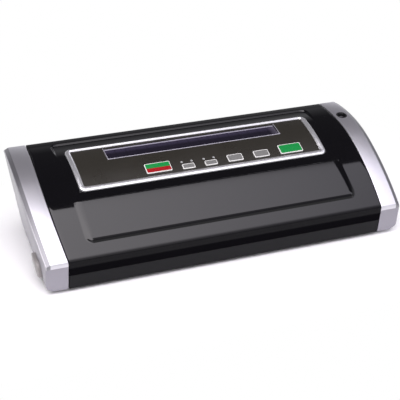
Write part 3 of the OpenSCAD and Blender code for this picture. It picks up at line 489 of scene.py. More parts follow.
def new_piece(name, skin, finish, body, replaces=(), sharp=40):
    """Makes a mesh object of a skin's points (in millimetres) and faces, turned outward and with its edges
    sharp past an angle. It rides on a body, if one is given."""
    points, faces = skin
    mesh = bpy.data.meshes.new(name)
    mesh.from_pydata((np.asarray(points, float) * MM).tolist(), [], [list(map(int, f)) for f in faces])
    mesh.validate()
    mesh.update()
    mesh.materials.append(FINISHES[finish])
    mesh.shade_smooth()
    mesh.set_sharp_from_angle(angle=math.radians(sharp))
    piece = bpy.data.objects.new(name, mesh)
    bpy.context.scene.collection.objects.link(piece)
    if body:
        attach(piece, body)
    if replaces:
        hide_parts(*replaces)
    return outward(piece)


def grid_faces(rows, cols, close_rows=False, close_cols=False, flip=False):
    """Quads of a grid of points numbered row by row."""
    r = np.arange(rows if close_rows else rows - 1)
    c = np.arange(cols if close_cols else cols - 1)
    r, c = np.meshgrid(r, c, indexing="ij")
    r2, c2 = (r + 1) % rows, (c + 1) % cols
    quads = np.stack([r * cols + c, r * cols + c2, r2 * cols + c2, r2 * cols + c], -1).reshape(-1, 4)
    return quads[:, ::-1] if flip else quads


def loft(rows, flip=False):
    """Closed skin through equal outlines: rows is an array (outline, point, 3). Ends get flat caps."""
    rows = np.asarray(rows, float)
    n, m = rows.shape[:2]
    faces = grid_faces(n, m, close_cols=True, flip=flip).tolist()
    first, last = list(range(m)), list(range((n - 1) * m, n * m))
    faces.append(first if flip else first[::-1])
    faces.append(last[::-1] if flip else last)
    return rows.reshape(-1, 3), faces


def outward(piece):
    """Merges the doubles of a closed mesh and turns its faces outward."""
    b = bmesh.new()
    b.from_mesh(piece.data)
    bmesh.ops.remove_doubles(b, verts=b.verts, dist=1e-7)
    bmesh.ops.recalc_face_normals(b, faces=b.faces)
    b.to_mesh(piece.data)
    b.free()
    return piece


def round_rect(x0, x1, y0, y1, r, steps=8):
    """Outline of a rectangle with round corners, counter-clockwise, equal steps in each corner."""
    a = np.linspace(0, np.pi / 2, steps)
    pts = []
    for k, (cx, cy) in enumerate([(x1 - r, y1 - r), (x0 + r, y1 - r), (x0 + r, y0 + r), (x1 - r, y0 + r)]):
        g = a + k * np.pi / 2
        pts.append(np.stack([cx + r * np.cos(g), cy + r * np.sin(g)], -1))
    return np.concatenate(pts)


def middle_rect(w, h, grow, r, steps=8):
    """Outline of a round-cornered rectangle about 0, 0, grown by the same amount on all sides."""
    return round_rect(-w / 2 - grow, w / 2 + grow, -h / 2 - grow, h / 2 + grow, r, steps)


def box_outline(x0, x1, y0, y1):
    """Outline of a plain rectangle."""
    return np.array([[x0, y0], [x1, y0], [x1, y1], [x0, y1]], float)


def circle(cx, cy, r, step):
    """Points on a circle, one every step degrees."""
    a = np.radians(np.arange(0, 360, float(step)))
    return np.stack([cx + r * np.cos(a), cy + r * np.sin(a)], -1)


def bend(p0, p1, p2, n):
    """Curve from p0 to p2 that is drawn toward p1: (1 - q)^2 p0 + 2 q (1 - q) p1 + q^2 p2."""
    q = np.linspace(0, 1, n)
    return np.outer((1 - q) ** 2, p0) + np.outer(2 * q * (1 - q), p1) + np.outer(q**2, p2)


def end_round(y, front, back):
    """How far a surface draws in at its front and back ends, which are rounded with these radii: for the
    distance d from an end, held to 0..r, it is r - sqrt(r^2 - (r - d)^2)."""
    ends = ((y + BACK, front), (BACK - y, back))
    return sum(r - np.sqrt(np.maximum(r**2 - (r - np.clip(d, 0, r)) ** 2, 0)) for d, r in ends)


def port_centre():
    """Place of the hose port in plan."""
    return float(seam_x(PORT_Y)) + PORT_OFF, PORT_Y


def on_arch(x, y, h):
    """Points over plan positions x, y, raised by h along the arch's normal."""
    t = tilt(y)
    return np.stack([x + 0 * h, y - h * np.sin(t), arch(y) + h * np.cos(t)], -1)


def flat_at(x, y, u, v, w):
    """Points given across, along and above the lid's tangent plane at x, y."""
    t = float(tilt(y))
    u, v, w = np.broadcast_arrays(u, v, w)
    along = y + v * math.cos(t) - w * math.sin(t)
    return np.stack([x + u, along, float(arch(y)) + v * math.sin(t) + w * math.cos(t)], -1)


def lines(*spans):
    """Grid lines: (from, to, step) spans joined without repeats."""
    out = []
    for a, b, step in spans:
        n = max(1, int(round(abs(b - a) / step)))
        out.append(np.linspace(a, b, n + 1))
    joined = np.concatenate(out)
    keep = np.concatenate([[True], np.abs(np.diff(joined)) > 1e-6])
    return joined[keep]


def prism_x(outline_yz, x0, x1):
    """Closed prism of an outline in the Y-Z plane, from x0 to x1."""
    o = np.asarray(outline_yz, float)
    rows = [np.stack([np.full(len(o), x), o[:, 0], o[:, 1]], -1) for x in (x0, x1)]
    return loft(rows)


def prism_side(side, outline_yz, x0, x1):
    """Closed prism on the left or right side, from x0 to x1 out from the middle plane."""
    return prism_x(outline_yz, *sorted((side * x0, side * x1)))


def prism_z(outline, z0, z1):
    """Closed upright prism of a plan outline, from z0 to z1."""
    return loft([np.concatenate([outline, np.full((len(outline), 1), z)], 1) for z in (z0, z1)])


def prism_flat(x, y, outline, w0, w1):
    """Closed prism of an outline in the lid's tangent plane at x, y, from w0 to w1 above it."""
    return loft([flat_at(x, y, outline[:, 0], outline[:, 1], w) for w in (w0, w1)])


def closed_ring(rows):
    """Closed skin of a grid of points that joins up with itself both ways: rows is an array (row, column,
    3)."""
    m = np.asarray(rows, float)
    return m.reshape(-1, 3), grid_faces(*m.shape[:2], close_rows=True, close_cols=True).tolist()


def arch_slab(y, x0, x1, top, low):
    """Slab from x0 to x1 that follows the arch over y, between the heights top and low above it."""
    corners = ((top, x0), (top, x1), (low, x1), (low, x0))
    rows = [on_arch(np.full(len(y), x), y, h + 0 * y) for h, x in corners]
    return loft(np.array(rows).transpose(1, 0, 2))


def join_parts(parts):
    """Puts several (points, faces) pairs into one."""
    points, faces, n = [], [], 0
    for p, f in parts:
        points.append(p)
        faces += [[i + n for i in q] for q in f]
        n += len(p)
    return np.concatenate(points), faces


def carve(piece, cutters, smooth_angle=35.0):
    """Takes closed shapes away from a piece and keeps the result as its own mesh."""
    for points, faces in cutters:
        mesh = bpy.data.meshes.new("cutter")
        mesh.from_pydata((np.asarray(points) * MM).tolist(), [], [list(map(int, f)) for f in faces])
        cutter = bpy.data.objects.new("cutter", mesh)
        bpy.context.scene.collection.objects.link(cutter)
        outward(cutter)
        cut = piece.modifiers.new("cut", "BOOLEAN")
        cut.operation, cut.solver, cut.object = "DIFFERENCE", "EXACT", cutter
    graph = bpy.context.evaluated_depsgraph_get()
    mesh = bpy.data.meshes.new_from_object(piece.evaluated_get(graph))
    used = [m.object for m in piece.modifiers]
    piece.modifiers.clear()
    piece.data = mesh
    for cutter in used:
        bpy.data.objects.remove(cutter)
    mesh.shade_smooth()
    mesh.set_sharp_from_angle(angle=math.radians(smooth_angle))


# ---------------------------------------------------------------- lid


def lid_path(radius, lip_z, back_z):
    """Outline of the lid seen from the side: up the leaning front face, round the front edge,
    along the arch, round the back edge and down the back wall. Gives points and outward normals."""
    n = math.hypot(1, LEAN)
    start = np.array([-BACK + radius * n, LID_FRONT_Z])
    along = np.array([-LEAN, 1]) / n
    w = start - [FRONT_Y, FRONT_Z]
    b, c = w @ along, w @ w - (FRONT_R - radius) ** 2
    centre = start + along * (-b + math.sqrt(b * b - c))
    spoke = (centre - [FRONT_Y, FRONT_Z]) / np.linalg.norm(centre - [FRONT_Y, FRONT_Z])
    a0, a1 = math.atan2(-LEAN, -1) + 2 * math.pi, math.atan2(spoke[1], spoke[0])
    turn = np.linspace(a0, a1, 9)
    edge = centre + radius * np.stack([np.cos(turn), np.sin(turn)], -1)
    z = lines((lip_z, edge[0, 1] - 0.05, 1.6))
    front = np.stack([front_y(z), z], -1)
    y = lines(
        (edge[-1, 0] + 0.2, -66, 1.2), (-66, -58, 0.4), (-58, -25, 1.5), (-25, -18.5, 0.3),
        (-18.5, -12.8, 1.0), (-12.8, -10.2, 0.4), (-10.2, 13, 1.6), (13, 24, 1.6), (24, 28, 0.8),
        (28, 42, 2.0), (42, 47.6, 0.8), (47.6, 50.2, 0.4), (50.2, 60, 1.2), (60, 70, 0.5),
        (70, BACK - 1.3, 1.0),
    )
    top = np.stack([y, arch(y)], -1)
    turn = np.radians(np.linspace(90, 0, 7)[1:])
    r = 1.2  # back edge
    back = [BACK - r, float(arch(BACK)) - r] + r * np.stack([np.cos(turn), np.sin(turn)], -1)
    z = lines((back[-1, 1] - 0.4, back_z, 3.0))
    down = np.stack([np.full(len(z), BACK), z], -1)
    p = np.concatenate([front, edge, top, back, down])
    d = np.gradient(p, axis=0)
    d /= np.linalg.norm(d, axis=1)[:, None]
    return p, np.stack([-d[:, 1], d[:, 0]], -1)


def field_height(x, y, shape):
    """Raised front field: a flat plane that stands over the arch by FIELD_STEP at its back edge and by the
    full rise at its front. With t = distance inside the plan outline / width of the slope, held to 0..1, the
    height is that of the plane times 1 - (1 - t)^2.2. The outline is a rectangle with rounder corners in
    front."""
    rise = shape.field_rise / MM
    z_front, z_back = float(arch(FIELD_FRONT)) + rise, float(arch(FIELD_BACK)) + FIELD_STEP
    fall = (z_back - z_front) / (FIELD_BACK - FIELD_FRONT)
    flat = z_front + (y - FIELD_FRONT) * fall
    over = np.maximum(flat - arch(y), 0) * np.cos(tilt(y))
    front, end, back = shape.field_slope / MM, shape.field_side / MM, 1.2
    dx = FIELD_HALF - np.abs(x)
    near_front = y < (FIELD_BACK + FIELD_FRONT) / 2
    r = np.where(near_front, 7.0, 1.5)
    dy = np.where(near_front, y - FIELD_FRONT, FIELD_BACK - y)
    qx, qy = np.maximum(r - dx, 0), np.maximum(r - dy, 0)
    slope_y = np.where(near_front, front, back)
    inside_x, inside_y = dx / end, dy / slope_y
    width = (qx * end + qy * slope_y) / np.maximum(qx + qy, 1e-6)
    corner = (r - np.hypot(qx, qy)) / np.maximum(width, 0.1)
    t = np.clip(np.where((qx > 0) & (qy > 0), corner, np.minimum(inside_x, inside_y)), 0, 1)
    return over * (1 - (1 - t) ** 2.2)


def hollow_depth(x, y, shape):
    """Shallow hollow behind the panel: the full depth times a soft ramp over y from the panel's middle, times
    a firm step over the distance inside a round-cornered edge at its back and ends."""
    back, half, r = 66.8, 147.0, 8.0
    ramp = smooth((y - 36.0) / 26.0)
    cx, cy = np.maximum(np.abs(x) - (half - r), 0), np.maximum(y - (back - r), 0)
    step = smooth((r - np.hypot(cx, cy)) / 2.2)
    return shape.hollow / MM * ramp * step


def box_mask(x, y, x0, x1, y0, y1, soft):
    """1 inside a rectangle, 0 outside, over a soft edge."""
    inside = np.minimum(np.minimum(x - x0, x1 - x), np.minimum(y - y0, y1 - y))
    return smooth(inside / soft + 0.5)


def lid_shell(shape):
    """Closed shell of the lid: a side outline carried across the width, its ends following the bowed seams,
    with the raised field, the hollow and the panel bed added along the outline's own normal."""
    p, n = lid_path(shape.front_round / MM, LIP_FOOT, LID_BACK_FOOT)
    flat = lines((0, 90, 7.5), (90, 130, 5.0), (130, 134, 1.0), (134, 137.6, 0.6), (137.6, 150, 0.62))
    r = shape.lid_round / MM
    turn = np.radians(np.linspace(0, 90, 5))
    spread = np.linspace(0, 1, 9)[1:-1]
    y, z = p[:, 0], p[:, 1]
    edge_x = lid_x(y)
    # columns from the middle outward: straight, then following the seam, then round the side edge
    cols = [np.full(len(y), x) for x in flat]
    cols += [flat[-1] + u * (edge_x - r - flat[-1]) for u in spread]
    cols += [edge_x - r + r * np.sin(a) for a in turn]
    drop = np.concatenate([np.zeros(len(flat) + len(spread)), r * (1 - np.cos(turn))])
    x = np.stack(cols, 1)
    x = np.concatenate([-x[:, :0:-1], x], 1)
    drop = np.concatenate([drop[:0:-1], drop])[None, :]
    yy = np.repeat(y[:, None], x.shape[1], 1)
    on_top = ((z > LID_FRONT_Z - 1.5) & (y < BACK - 1.25))[:, None]
    half_p, py0, py1 = PANEL
    relief = field_height(x, yy, shape) - hollow_depth(x, yy, shape)
    relief = relief - PANEL_BED * box_mask(x, yy, -half_p, half_p, py0, py1, 0.8)
    h = np.where(on_top, relief, 0) - drop
    outer = np.stack([x, y[:, None] + n[:, :1] * h, z[:, None] + n[:, 1:] * h], -1)
    # inner skin: a plainer outline set in by the wall
    wall = 2.6
    yi = np.clip(y, -BACK + 4.4, BACK - wall)
    zi = np.minimum(z, arch(yi) - wall / np.cos(tilt(yi)))
    low = z < LID_FRONT_Z - 2.0
    yi = np.where(low & (y < 0), front_y(z) + wall, yi)
    hi = np.minimum(h + wall - 1.1, 0)
    xi = np.clip(x, -edge_x[:, None], edge_x[:, None])
    inner = np.stack([xi, yi[:, None] + 0 * x, zi[:, None] + hi], -1)
    return loft(np.concatenate([outer, inner[:, ::-1]], 1))


def lid_inside():
    """Side walls and hinge arms of the lid, as closed prisms."""
    parts = []
    latch = (BUTTON[0] - 6.5, BUTTON[0] + 6.5)
    # the wall is made of four prisms that leave the latch window open: from, to, foot, points along the top
    spans = (
        (-71.0, latch[0], LID_WALL_FOOT, 12), (*latch, LATCH_TOP, 12), (latch[1], -1.0, LID_WALL_FOOT, 12),
        (-1.0, BACK - 3.0, LID_BACK_FOOT, 20),
    )
    for s in (-1, 1):
        for lo, hi, foot, n in spans:
            y = np.linspace(lo, hi, n)
            o = np.concatenate([np.stack([y, arch(y) - 2.2], -1), [[hi, foot], [lo, foot]]])
            parts.append(prism_side(s, o, *LID_WALL))
        a = np.radians(np.linspace(180, 360, 17))
        arm = np.stack([HINGE_Y + 4.4 * np.cos(a), HINGE_Z + 4.4 * np.sin(a)], -1)
        arm = np.concatenate([arm, [[72.4, 64.0], [73.4, 64.0], [73.4, 93.5], [63.6, 93.0]]])
        parts.append(prism_x(arm, s * HINGE_X - 5.9, s * HINGE_X + 5.9))
    return parts


def lid_cutters():
    """Openings through the lid for the keys, the lamps and the display, and notches for the hinge lugs."""
    depth = (-7.0, 5.0)
    cut = [prism_flat(x, y, middle_rect(w, h, 0.5, 1.5, 4), *depth) for x, y, w, h, _ in KEYS.values()]
    for x in HINGE_LUGS:
        cut.append(prism_z(round_rect(x - 3.4, x + 3.4, BACK - 6, BACK + 3, 0.2, 2), 53.0, 66.5))
    cut += [prism_flat(x, LAMP_Y, circle(0, 0, 1.5, 20), *depth) for x in LAMPS]
    x0, x1, y0, y1 = WINDOW
    cut.append(prism_z(round_rect(x0 - 0.1, x1 + 0.1, y0 - 0.1, y1 + 0.1, 0.4, 3), *THROUGH))
    return cut


# ---------------------------------------------------------------- side housings and trims


def trim_skin(side, shape):
    """Silver strip over a side housing: a flat top with a bevelled outer edge and round corners, carried
    along the arch. Each soft corner is a curve (1 - q)^2, q^2 between the two edges that meet there."""
    r = shape.trim_round / MM
    y = lines(
        (-BACK, -BACK + 0.4, 0.1), (-BACK + 0.4, -BACK + 2, 0.25), (-BACK + 2, -60, 1.7), (-60, 66, 2.4),
        (66, BACK - 1, 1.4), (BACK - 1, BACK, 0.2),
    )
    ri, k2 = 0.6, 0.45  # inner edge and foot of the bevel
    bevel_w, bevel_h, low = 4.7, 2.65, TRIM_LOW
    slope = math.atan2(bevel_h, bevel_w)
    a = np.radians(np.linspace(0, 90, 5))
    t = np.linspace(0, 1, 6)
    k = r * 1.1
    run, drop = math.cos(slope), math.sin(slope)
    # section as (inner or outer datum, x offset, drop)
    sec = [(0, 0.0, low)]
    sec += [(0, ri - ri * math.cos(b), ri - ri * math.sin(b)) for b in a]
    sec += [(1, -9.5, 0.0)]
    sec += [(1, -bevel_w - k * (1 - q) ** 2 + k * q**2 * run, k * q**2 * drop) for q in t]
    sec += [(1, -bevel_w * (1 - q), bevel_h * q) for q in (0.35, 0.5, 0.65, 0.8)]
    sec += [(1, -k2 * run * (1 - q) ** 2, bevel_h - k2 * drop * (1 - q) ** 2 + k2 * q**2) for q in t]
    sec += [(1, 0.0, low)]
    which, dx, dz = np.array(sec).T
    xi, xo = seam_x(y) + CHEEK, outer_x(y)
    x = np.where(which[None, :] == 0, xi[:, None], xo[:, None]) + dx[None, :]
    slant = 1 / np.cos(tilt(y))
    top = arch(y) - end_round(y, 1.6, 0.8)
    low_z = arch(y) - low * slant
    z = np.maximum(top[:, None] - dz[None, :], low_z[:, None])
    z[:, dz == low] = low_z[:, None]
    lean = (LID_FRONT_Z - z) * LEAN * np.clip(1 - (y[:, None] + BACK) / 3.0, 0, 1)
    return loft(np.stack([side * x, y[:, None] + lean, z], -1), flip=side < 0)


def housing_skin(side):
    """Side housing: for each station along y an outline from the inner wall over the top, down the bowed and
    leaning outer wall and round the chamfered foot edge."""
    y = lines(
        (-BACK, -BACK + 1.2, 0.2), (-BACK + 1.2, -60, 1.6), (-60, 66, 2.4), (66, BACK - 1.2, 1.4),
        (BACK - 1.2, BACK, 0.2),
    )
    z1 = FOOT + 4.1  # where the chamfer starts
    rows = []
    for yy in y:
        inset = float(end_round(yy, 1.0, 1.0))
        zt = float(arch(yy)) - TRIM_LOW / math.cos(float(tilt(yy)))
        xi = float(seam_x(yy)) + CHEEK
        zs = np.linspace(z1 + 0.9, zt, 18)[::-1]
        wall = wall_x(yy, zs) - inset
        foot_in = float(wall_x(yy, FOOT)) - 5.6
        xw = float(wall_x(yy, z1))
        upper = bend((wall[-1] + inset, z1 + 0.9), (xw, z1), (xw - 1.0, z1 - 0.75), 5)[1:] - [inset, 0]
        lower = bend((foot_in + 1.0, FOOT + 0.75), (foot_in, FOOT), (foot_in - 1.2, FOOT), 5) - [inset, 0]
        sec = np.concatenate([[[xi, FOOT], [xi, zt]], np.stack([wall, zs], -1), upper, lower])
        lean = (LID_FRONT_Z - sec[:, 1]) * LEAN * max(0.0, 1 - (yy + BACK) / 6.0)
        rows.append(np.stack([side * sec[:, 0], yy + lean, sec[:, 1]], -1))
    return loft(np.array(rows), flip=side < 0)


def button_outline(grow, r=8.0):
    """Outline of the release button in the Y-Z plane, with corners no rounder than its height allows."""
    cy, cz, w, h = BUTTON
    return middle_rect(w, h, grow, max(0.3, min(r, h / 2 + grow - 0.2)), 9) + [cy, cz]


def housing_cutters(side):
    """Pockets of the housing: button opening, latch window, cooling slots and screw wells."""
    cut = [prism_side(side, button_outline(0.5), 176.0, 203.0)]
    cut.append(prism_side(side, box_outline(-46.5, -35.5, 25.7, 34.1), 160.0, 178.0))
    for i in range(4):
        x0 = float(seam_x(BACK)) + 5 + 3 * i
        cut.append(prism_side(side, box_outline(BACK - 5, BACK + 5, 30, 52), x0, x0 + 1.4))
    for y in (-62.0, -14.0):
        cut.append(prism_z(circle(side * (float(seam_x(y)) + 3.7), y, 2.95, 12), 0.0, 6.25))
    return cut


def button_skin(side):
    """Release button: an upright rim that rolls over into a shallow crowned face, parallel to the leaning
    side wall, with its flange, stem, arm and hook behind. Its face lies stand - crown - sink out from the
    middle, where crown is the square of the distance from its centre / 240."""
    cy, cz = BUTTON[:2]
    stand = float(lean_x(cy, cz)) + 4.6
    root = float(outer_x(cy)) - 9.4

    def ring(grow, sink, r=8.0):
        """Outline at a distance inside the rim, sunk below the crowned face."""
        o = button_outline(grow, r)
        dy, dz = o[:, 0] - cy, o[:, 1] - cz
        crown = (dy**2 + dz**2) / 240.0
        x = stand - dy * BACK_FALL + dz * SIDE_LEAN - crown - sink
        return np.stack([x, o[:, 0], o[:, 1]], -1)

    edge = 1.3  # radius of the rolled rim
    first = ring(0.0, 0.0)
    first[:, 0] = root
    rows = [first, ring(0.0, edge)]
    turn = np.radians(np.linspace(11, 90, 8))
    rows += [ring(-edge * (1 - math.cos(a)), edge * (1 - math.sin(a))) for a in turn]
    rows += [ring(-edge - 7.7 * k, 0.0, max(6.7 - 6.4 * k, 0.4)) for k in np.linspace(0.15, 0.98, 7)]
    cap = np.array(rows)
    cap[:, :, 0] *= side
    flange = button_outline(1.6)
    flange[:, 1] = np.maximum(flange[:, 1], 9.8)
    return join_parts([
        loft(cap),
        prism_side(side, flange, 182.0, 184.4),
        prism_side(side, box_outline(-45, -37, 27.9, 30.3), 158.6, 183.4),  # arm
        prism_side(side, box_outline(-45, -37, 30.1, 32.7), 158.6, 161.0),  # hook
        prism_side(side, circle(cy, STEM_Z, 2.2, 15), 178.2, 183.0),
    ])


def coil_skin(side):
    """Release spring, a wire of radius w wound on radius r. At turn angle a = 2 pi turns k and angle c round
    the wire: x = x0 + w + (long - 2 w) k + w sin c, across = (r + w cos c) (cos a, sin a)."""
    turns, r, w = 3.5, 3.3, 0.35
    x0, x1 = coil_ends()
    k = np.linspace(0, 1, 85)[:, None]
    a, c = 2 * np.pi * turns * k, np.linspace(0, 2 * np.pi, 11)[None, :-1]
    out = r + w * np.cos(c)
    x = x0 + w + (x1 - x0 - 2 * w) * k + w * np.sin(c)
    return loft(np.stack([side * x, BUTTON[0] + out * np.cos(a), STEM_Z - out * np.sin(a)], -1))


def coil_ends():
    """Distances from the middle plane at which the release springs start and end."""
    cy = BUTTON[0]
    return float(seam_x(cy)) + CHEEK + 3.15, float(outer_x(cy)) - 11.7


# ---------------------------------------------------------------- key panel


def ring_path(x0, x1, y0, y1, r, corner=9, long=26, side=22):
    """Closed path round a rectangle with round corners, with even steps along the straights."""
    arcs = round_rect(x0, x1, y0, y1, r, corner).reshape(4, corner, 2)
    out = []
    for k, arc in enumerate(arcs):
        steps = np.linspace(0, 1, (side if k % 2 else long) + 1)[1:-1, None]
        out += [arc, arc[-1] + (arcs[(k + 1) % 4][0] - arc[-1]) * steps]
    return np.concatenate(out)


def rim_skin(shape):
    """Bright rim: between an outer and an inner round rectangle, a section that rises steeply outside,
    runs over a soft crown and falls in a wider slope to the film."""
    outer = ring_path(*RIM, 6.0)
    inner = ring_path(RIM[0] + 5.6, RIM[1] - 5.6, RIM[2] + 5.7, RIM[3] - 2.5, 2.0)
    rise = shape.rim_rise / MM
    crown = (
        (0.015, 0.35), (0.06, 0.72), (0.14, 0.93), (0.25, 1.0), (0.5, 1.0),
        (0.62, 0.97), (0.70, 0.86), (0.78, 0.62), (0.9, 0.22),
    )
    # section as (part of the way from the outer to the inner path, height)
    sec = [(0.0, -0.9), (0.0, 0.0), *((s, k * rise) for s, k in crown), (0.97, 0.05), (1.0, 0.0), (1.0, -0.9)]
    rows = []
    for s, h in sec:
        p = outer * (1 - s) + inner * s
        rows.append(on_arch(p[:, 0], p[:, 1], np.full(len(p), h)))
    return closed_ring(np.array(rows).transpose(1, 0, 2))


def film_skin():
    """Film under the keys: a thin slab that follows the arch, its edges hidden under the rim."""
    return arch_slab(lines((-7.4, 3.0, 1.0), (3.0, 46.8, 1.2)), -131.6, 131.6, 0.04, -0.72)


def film_cutters():
    """Openings in the film for the keys, the lamps and the window."""
    depth = (-5.0, 5.0)
    cut = [prism_flat(x, y, middle_rect(w, h, 0.4, 1.4), *depth) for x, y, w, h, _ in KEYS.values()]
    cut += [prism_flat(x, LAMP_Y, circle(0, 0, 1.35, 15), *depth) for x in LAMPS]
    cut.append(prism_z(round_rect(*WINDOW, 2.0), *THROUGH))
    return cut


def key_skin(name, shape):
    """Key cap: a rounded rectangle raised along the lid's normal, its top edge rounded, with a stem below."""
    x, y, w, h, rise = KEYS[name]
    r = shape.key_round / MM
    # how far each outline lies in from the key's edge, and how far below its top
    edge = ((0.0, 0.35), (0.03, 0.2), (0.1, 0.09), (0.22, 0.02), (0.4, 0.0), (1.2, -0.01))
    rows = []
    for inset, z in ((0.0, -1.35), *((inset, rise - low) for inset, low in edge)):
        o = middle_rect(w, h, -inset, max(r - inset * 0.6, 0.3))
        rows.append(flat_at(x, y, o[:, 0], o[:, 1], z))
    stem = prism_flat(x, y, circle(0, -min(1.0, y - 2.6), 1.6, 20), -3.0, -1.3)
    return join_parts([loft(rows), stem])


def window_skin():
    """Display window: a shallow trough of tinted film just under the panel's film. With v from 0 in front to
    1 behind, it lies 1.25 + 0.25 sin(pi v) under the arch."""
    y = lines((WINDOW[2] + 0.15, WINDOW[3] - 0.15, 0.8))
    v = (y - y[0]) / (y[-1] - y[0])
    h = -1.25 - 0.25 * np.sin(np.pi * v)
    return arch_slab(y, WINDOW[0] + 0.2, WINDOW[1] - 0.2, h, h - 0.5)


def port_skin():
    """Hose port: a ring of turned section round the bore, its top following the arch, and its collar and
    tube."""
    # radius, height, and whether that is a fixed height and not one above the arch
    lip = (
        (4.02, 84.0, True), (4.02, -0.9, False), (4.15, -0.45, False), (4.45, -0.1, False),
        (4.9, 0.12, False), (5.4, 0.14, False), (5.75, -0.02, False), (5.95, -0.3, False),
        (6.0, -0.8, False), (6.0, 84.0, True),
    )
    tube = (
        (4.02, 84.02), (5.98, 84.02), (6.4, 81.4), (6.4, 78.4), (2.0, 78.4),
        (2.0, 73.0), (1.1, 73.0), (1.1, 82.0), (4.02, 82.0),
    )
    rings = []
    for section in (lip, [(r, z, True) for r, z in tube]):
        rows = []
        for r, h, fixed in section:
            x, y = circle(*port_centre(), r, 6).T
            rows.append(np.stack([x, y, np.full(len(x), h) if fixed else arch(y) + h], -1))
        rings.append(closed_ring(rows))
    return join_parts(rings)


# ---------------------------------------------------------------- finishes for the whole object


def make_finishes(paint):
    """One finish for each material slot, plus those of the printed pieces."""
    F = FINISHES
    F["body_plastic"] = finish_moulded("body plastic", paint.plastic, 0.34, 0.000012, Specular_IOR_Level=0.09)
    F["deck_plastic"] = finish_moulded("deck plastic", [c * 1.5 for c in paint.plastic], 0.5, 0.00003, 900.0)
    F["silver_plastic"] = finish_silver("housing silver", paint.housing, 0.38, 0.75, 0.03)
    F["bright_trim"] = finish_trim("trim silver", paint.trim)
    F["bar_metal"] = finish_metal("drawn aluminium", (0.62, 0.62, 0.63), 0.32, (0.15, 6, 6), 700.0)
    F["wire_metal"] = finish_metal("resistance strip", (0.50, 0.46, 0.40), 0.28, (0.2, 5, 5), 900.0)
    F["release_tape"] = finish_cloth("release tape", (0.30, 0.20, 0.11))
    F["gasket_rubber"] = finish_rubber("foam gasket", (0.030, 0.030, 0.031), 0.88, 1500.0, 0.00009)
    F["strip_rubber"] = finish_rubber("pressure strip", (0.20, 0.022, 0.020), 0.6, 700.0, 0.00003)
    F["hose_rubber"] = finish_rubber("silicone hose", (0.62, 0.61, 0.57), 0.45, 500.0, 0.00001)
    F["core_steel"] = finish_lamination("laminated core", (0.30, 0.30, 0.31))
    F["coil_tape"] = finish_cloth("coil tape", (0.52, 0.33, 0.06))
    F["circuit_board"] = finish_board("circuit board", (0.012, 0.085, 0.030))
    F["valve_plastic"] = finish_moulded("valve plastic", (0.42, 0.45, 0.50), 0.4)
    F["pin_brass"] = finish_metal("brass pins", (0.72, 0.52, 0.22), 0.22, (6, 0.3, 6), 900.0)
    F["foot_rubber"] = finish_rubber("feet", (0.022, 0.022, 0.023), 0.8, 900.0, 0.00004)
    F["lid_gloss"] = finish_lid("lid black", paint.lid)
    F["overlay_film"] = finish_film("panel film", paint)
    F["lens_film"] = finish_window("display window", paint)
    F["lamp_plastic"] = finish_lamp("lamp plastic")
    F["key_green"] = finish_key("green key", paint, paint.green)
    F["key_grey"] = finish_key("grey key", paint, paint.grey)
    F["power"] = finish_key("power key", paint, paint.green, paint.red, 4.1)
    F["button_grey"] = finish_moulded("button grey", paint.button, 0.42, 0.00001, 1600.0, Coat_Weight=0.15)
    F["rim"] = finish_silver("panel rim", paint.rim, 0.30, 0.85, 0.02)
    F["port"] = finish_moulded("port black", [c * 0.6 for c in paint.plastic], 0.4, Specular_IOR_Level=0.15)


def finish_film(name, paint):
    """Back-printed polycarbonate film: a fine satin texture over an even dark print, with a painted highlight
    where the lip along the front and the ends of the window catches the light."""
    f = Finish(name, paint.film, 0.3, Coat_Weight=0.0)
    fine = f.noise(2600.0, 2.0)
    wide = f.noise(40.0, 2.0)
    x, y, _ = f.xyz()
    x0, x1, y0, y1 = (v * MM for v in WINDOW)
    across = abs(x - (x0 + x1) / 2) - (x1 - x0) / 2
    along = abs(y - (y0 + y1) / 2) - (y1 - y0) / 2
    # painted highlight: a light line on the lip along the window's front edge and its ends
    front = ramp01(y, y0 - 0.0011, y0 - 0.0007) * ramp01(y, y0 + 0.0006, y0 + 0.0003)
    ends = ramp01(across, -0.0003, 0.0) * ramp01(across, 0.0009, 0.0006) * ramp01(along, 0.0009, 0.0006)
    lip = (front * ramp01(across, 0.0009, 0.0004)).most(ends * 0.5)
    dark_print = f.mix(wide, *shades(paint.film, 0.9, 1.1))
    f.set("Base Color", f.mix(lip, dark_print, (0.36, 0.35, 0.40)))
    f.set("Roughness", 0.24 + 0.08 * wide)
    f.bump(fine, 0.000008, 0.5)
    return f.material


def finish_window(name, paint):
    """Tinted window in a shallow trough: dark toward the front, with a painted reflection making it violet
    toward the back, painted highlights as light lines where the film turns up along its edges, and a painted
    highlight lightening its right end. The cells of the display show faintly."""
    f = Finish(name, paint.window, 0.08, Coat_Weight=0.15, Coat_Roughness=0.04)
    x, y, _ = f.xyz()
    x0, x1, y0, y1 = (v * MM for v in WINDOW)
    cell = 0.0115
    saw = f.node("ShaderNodeMath", {"operation": "PINGPONG"}, {0: x - x0, 1: cell})[0]
    cells = ramp01(abs(saw - cell / 2), 0.0048, 0.0052)
    # painted reflection: the window turns lighter violet toward the back of the trough
    painted_back_reflection = ramp01(y, y0 + 0.0085, y0 + 0.0125)
    tone = f.mix(painted_back_reflection, paint.window, [c * 2.7 for c in paint.window])
    # each layer: how much of it shows, and its colour; after the display's cells, every layer is a painted
    # highlight
    for part, shade in (
        (cells * 0.25, [c * 0.4 for c in paint.window]),
        (ramp01(x, x1 - 0.0085, x1 - 0.0010) * 0.6, (0.095, 0.086, 0.115)),
        (ramp01(y, y1 - 0.0020, y1 - 0.0014), (0.260, 0.250, 0.300)),
        (ramp01(y, y0 + 0.0011, y0 + 0.0008), (0.340, 0.330, 0.380)),
        (ramp01(x, x0 + 0.0011, x0 + 0.0008), (0.220, 0.210, 0.250)),
    ):
        tone = f.mix(part, tone, shade)
    f.set("Base Color", tone)
    f.set("Roughness", 0.07 + 0.04 * f.noise(60.0))
    return f.material


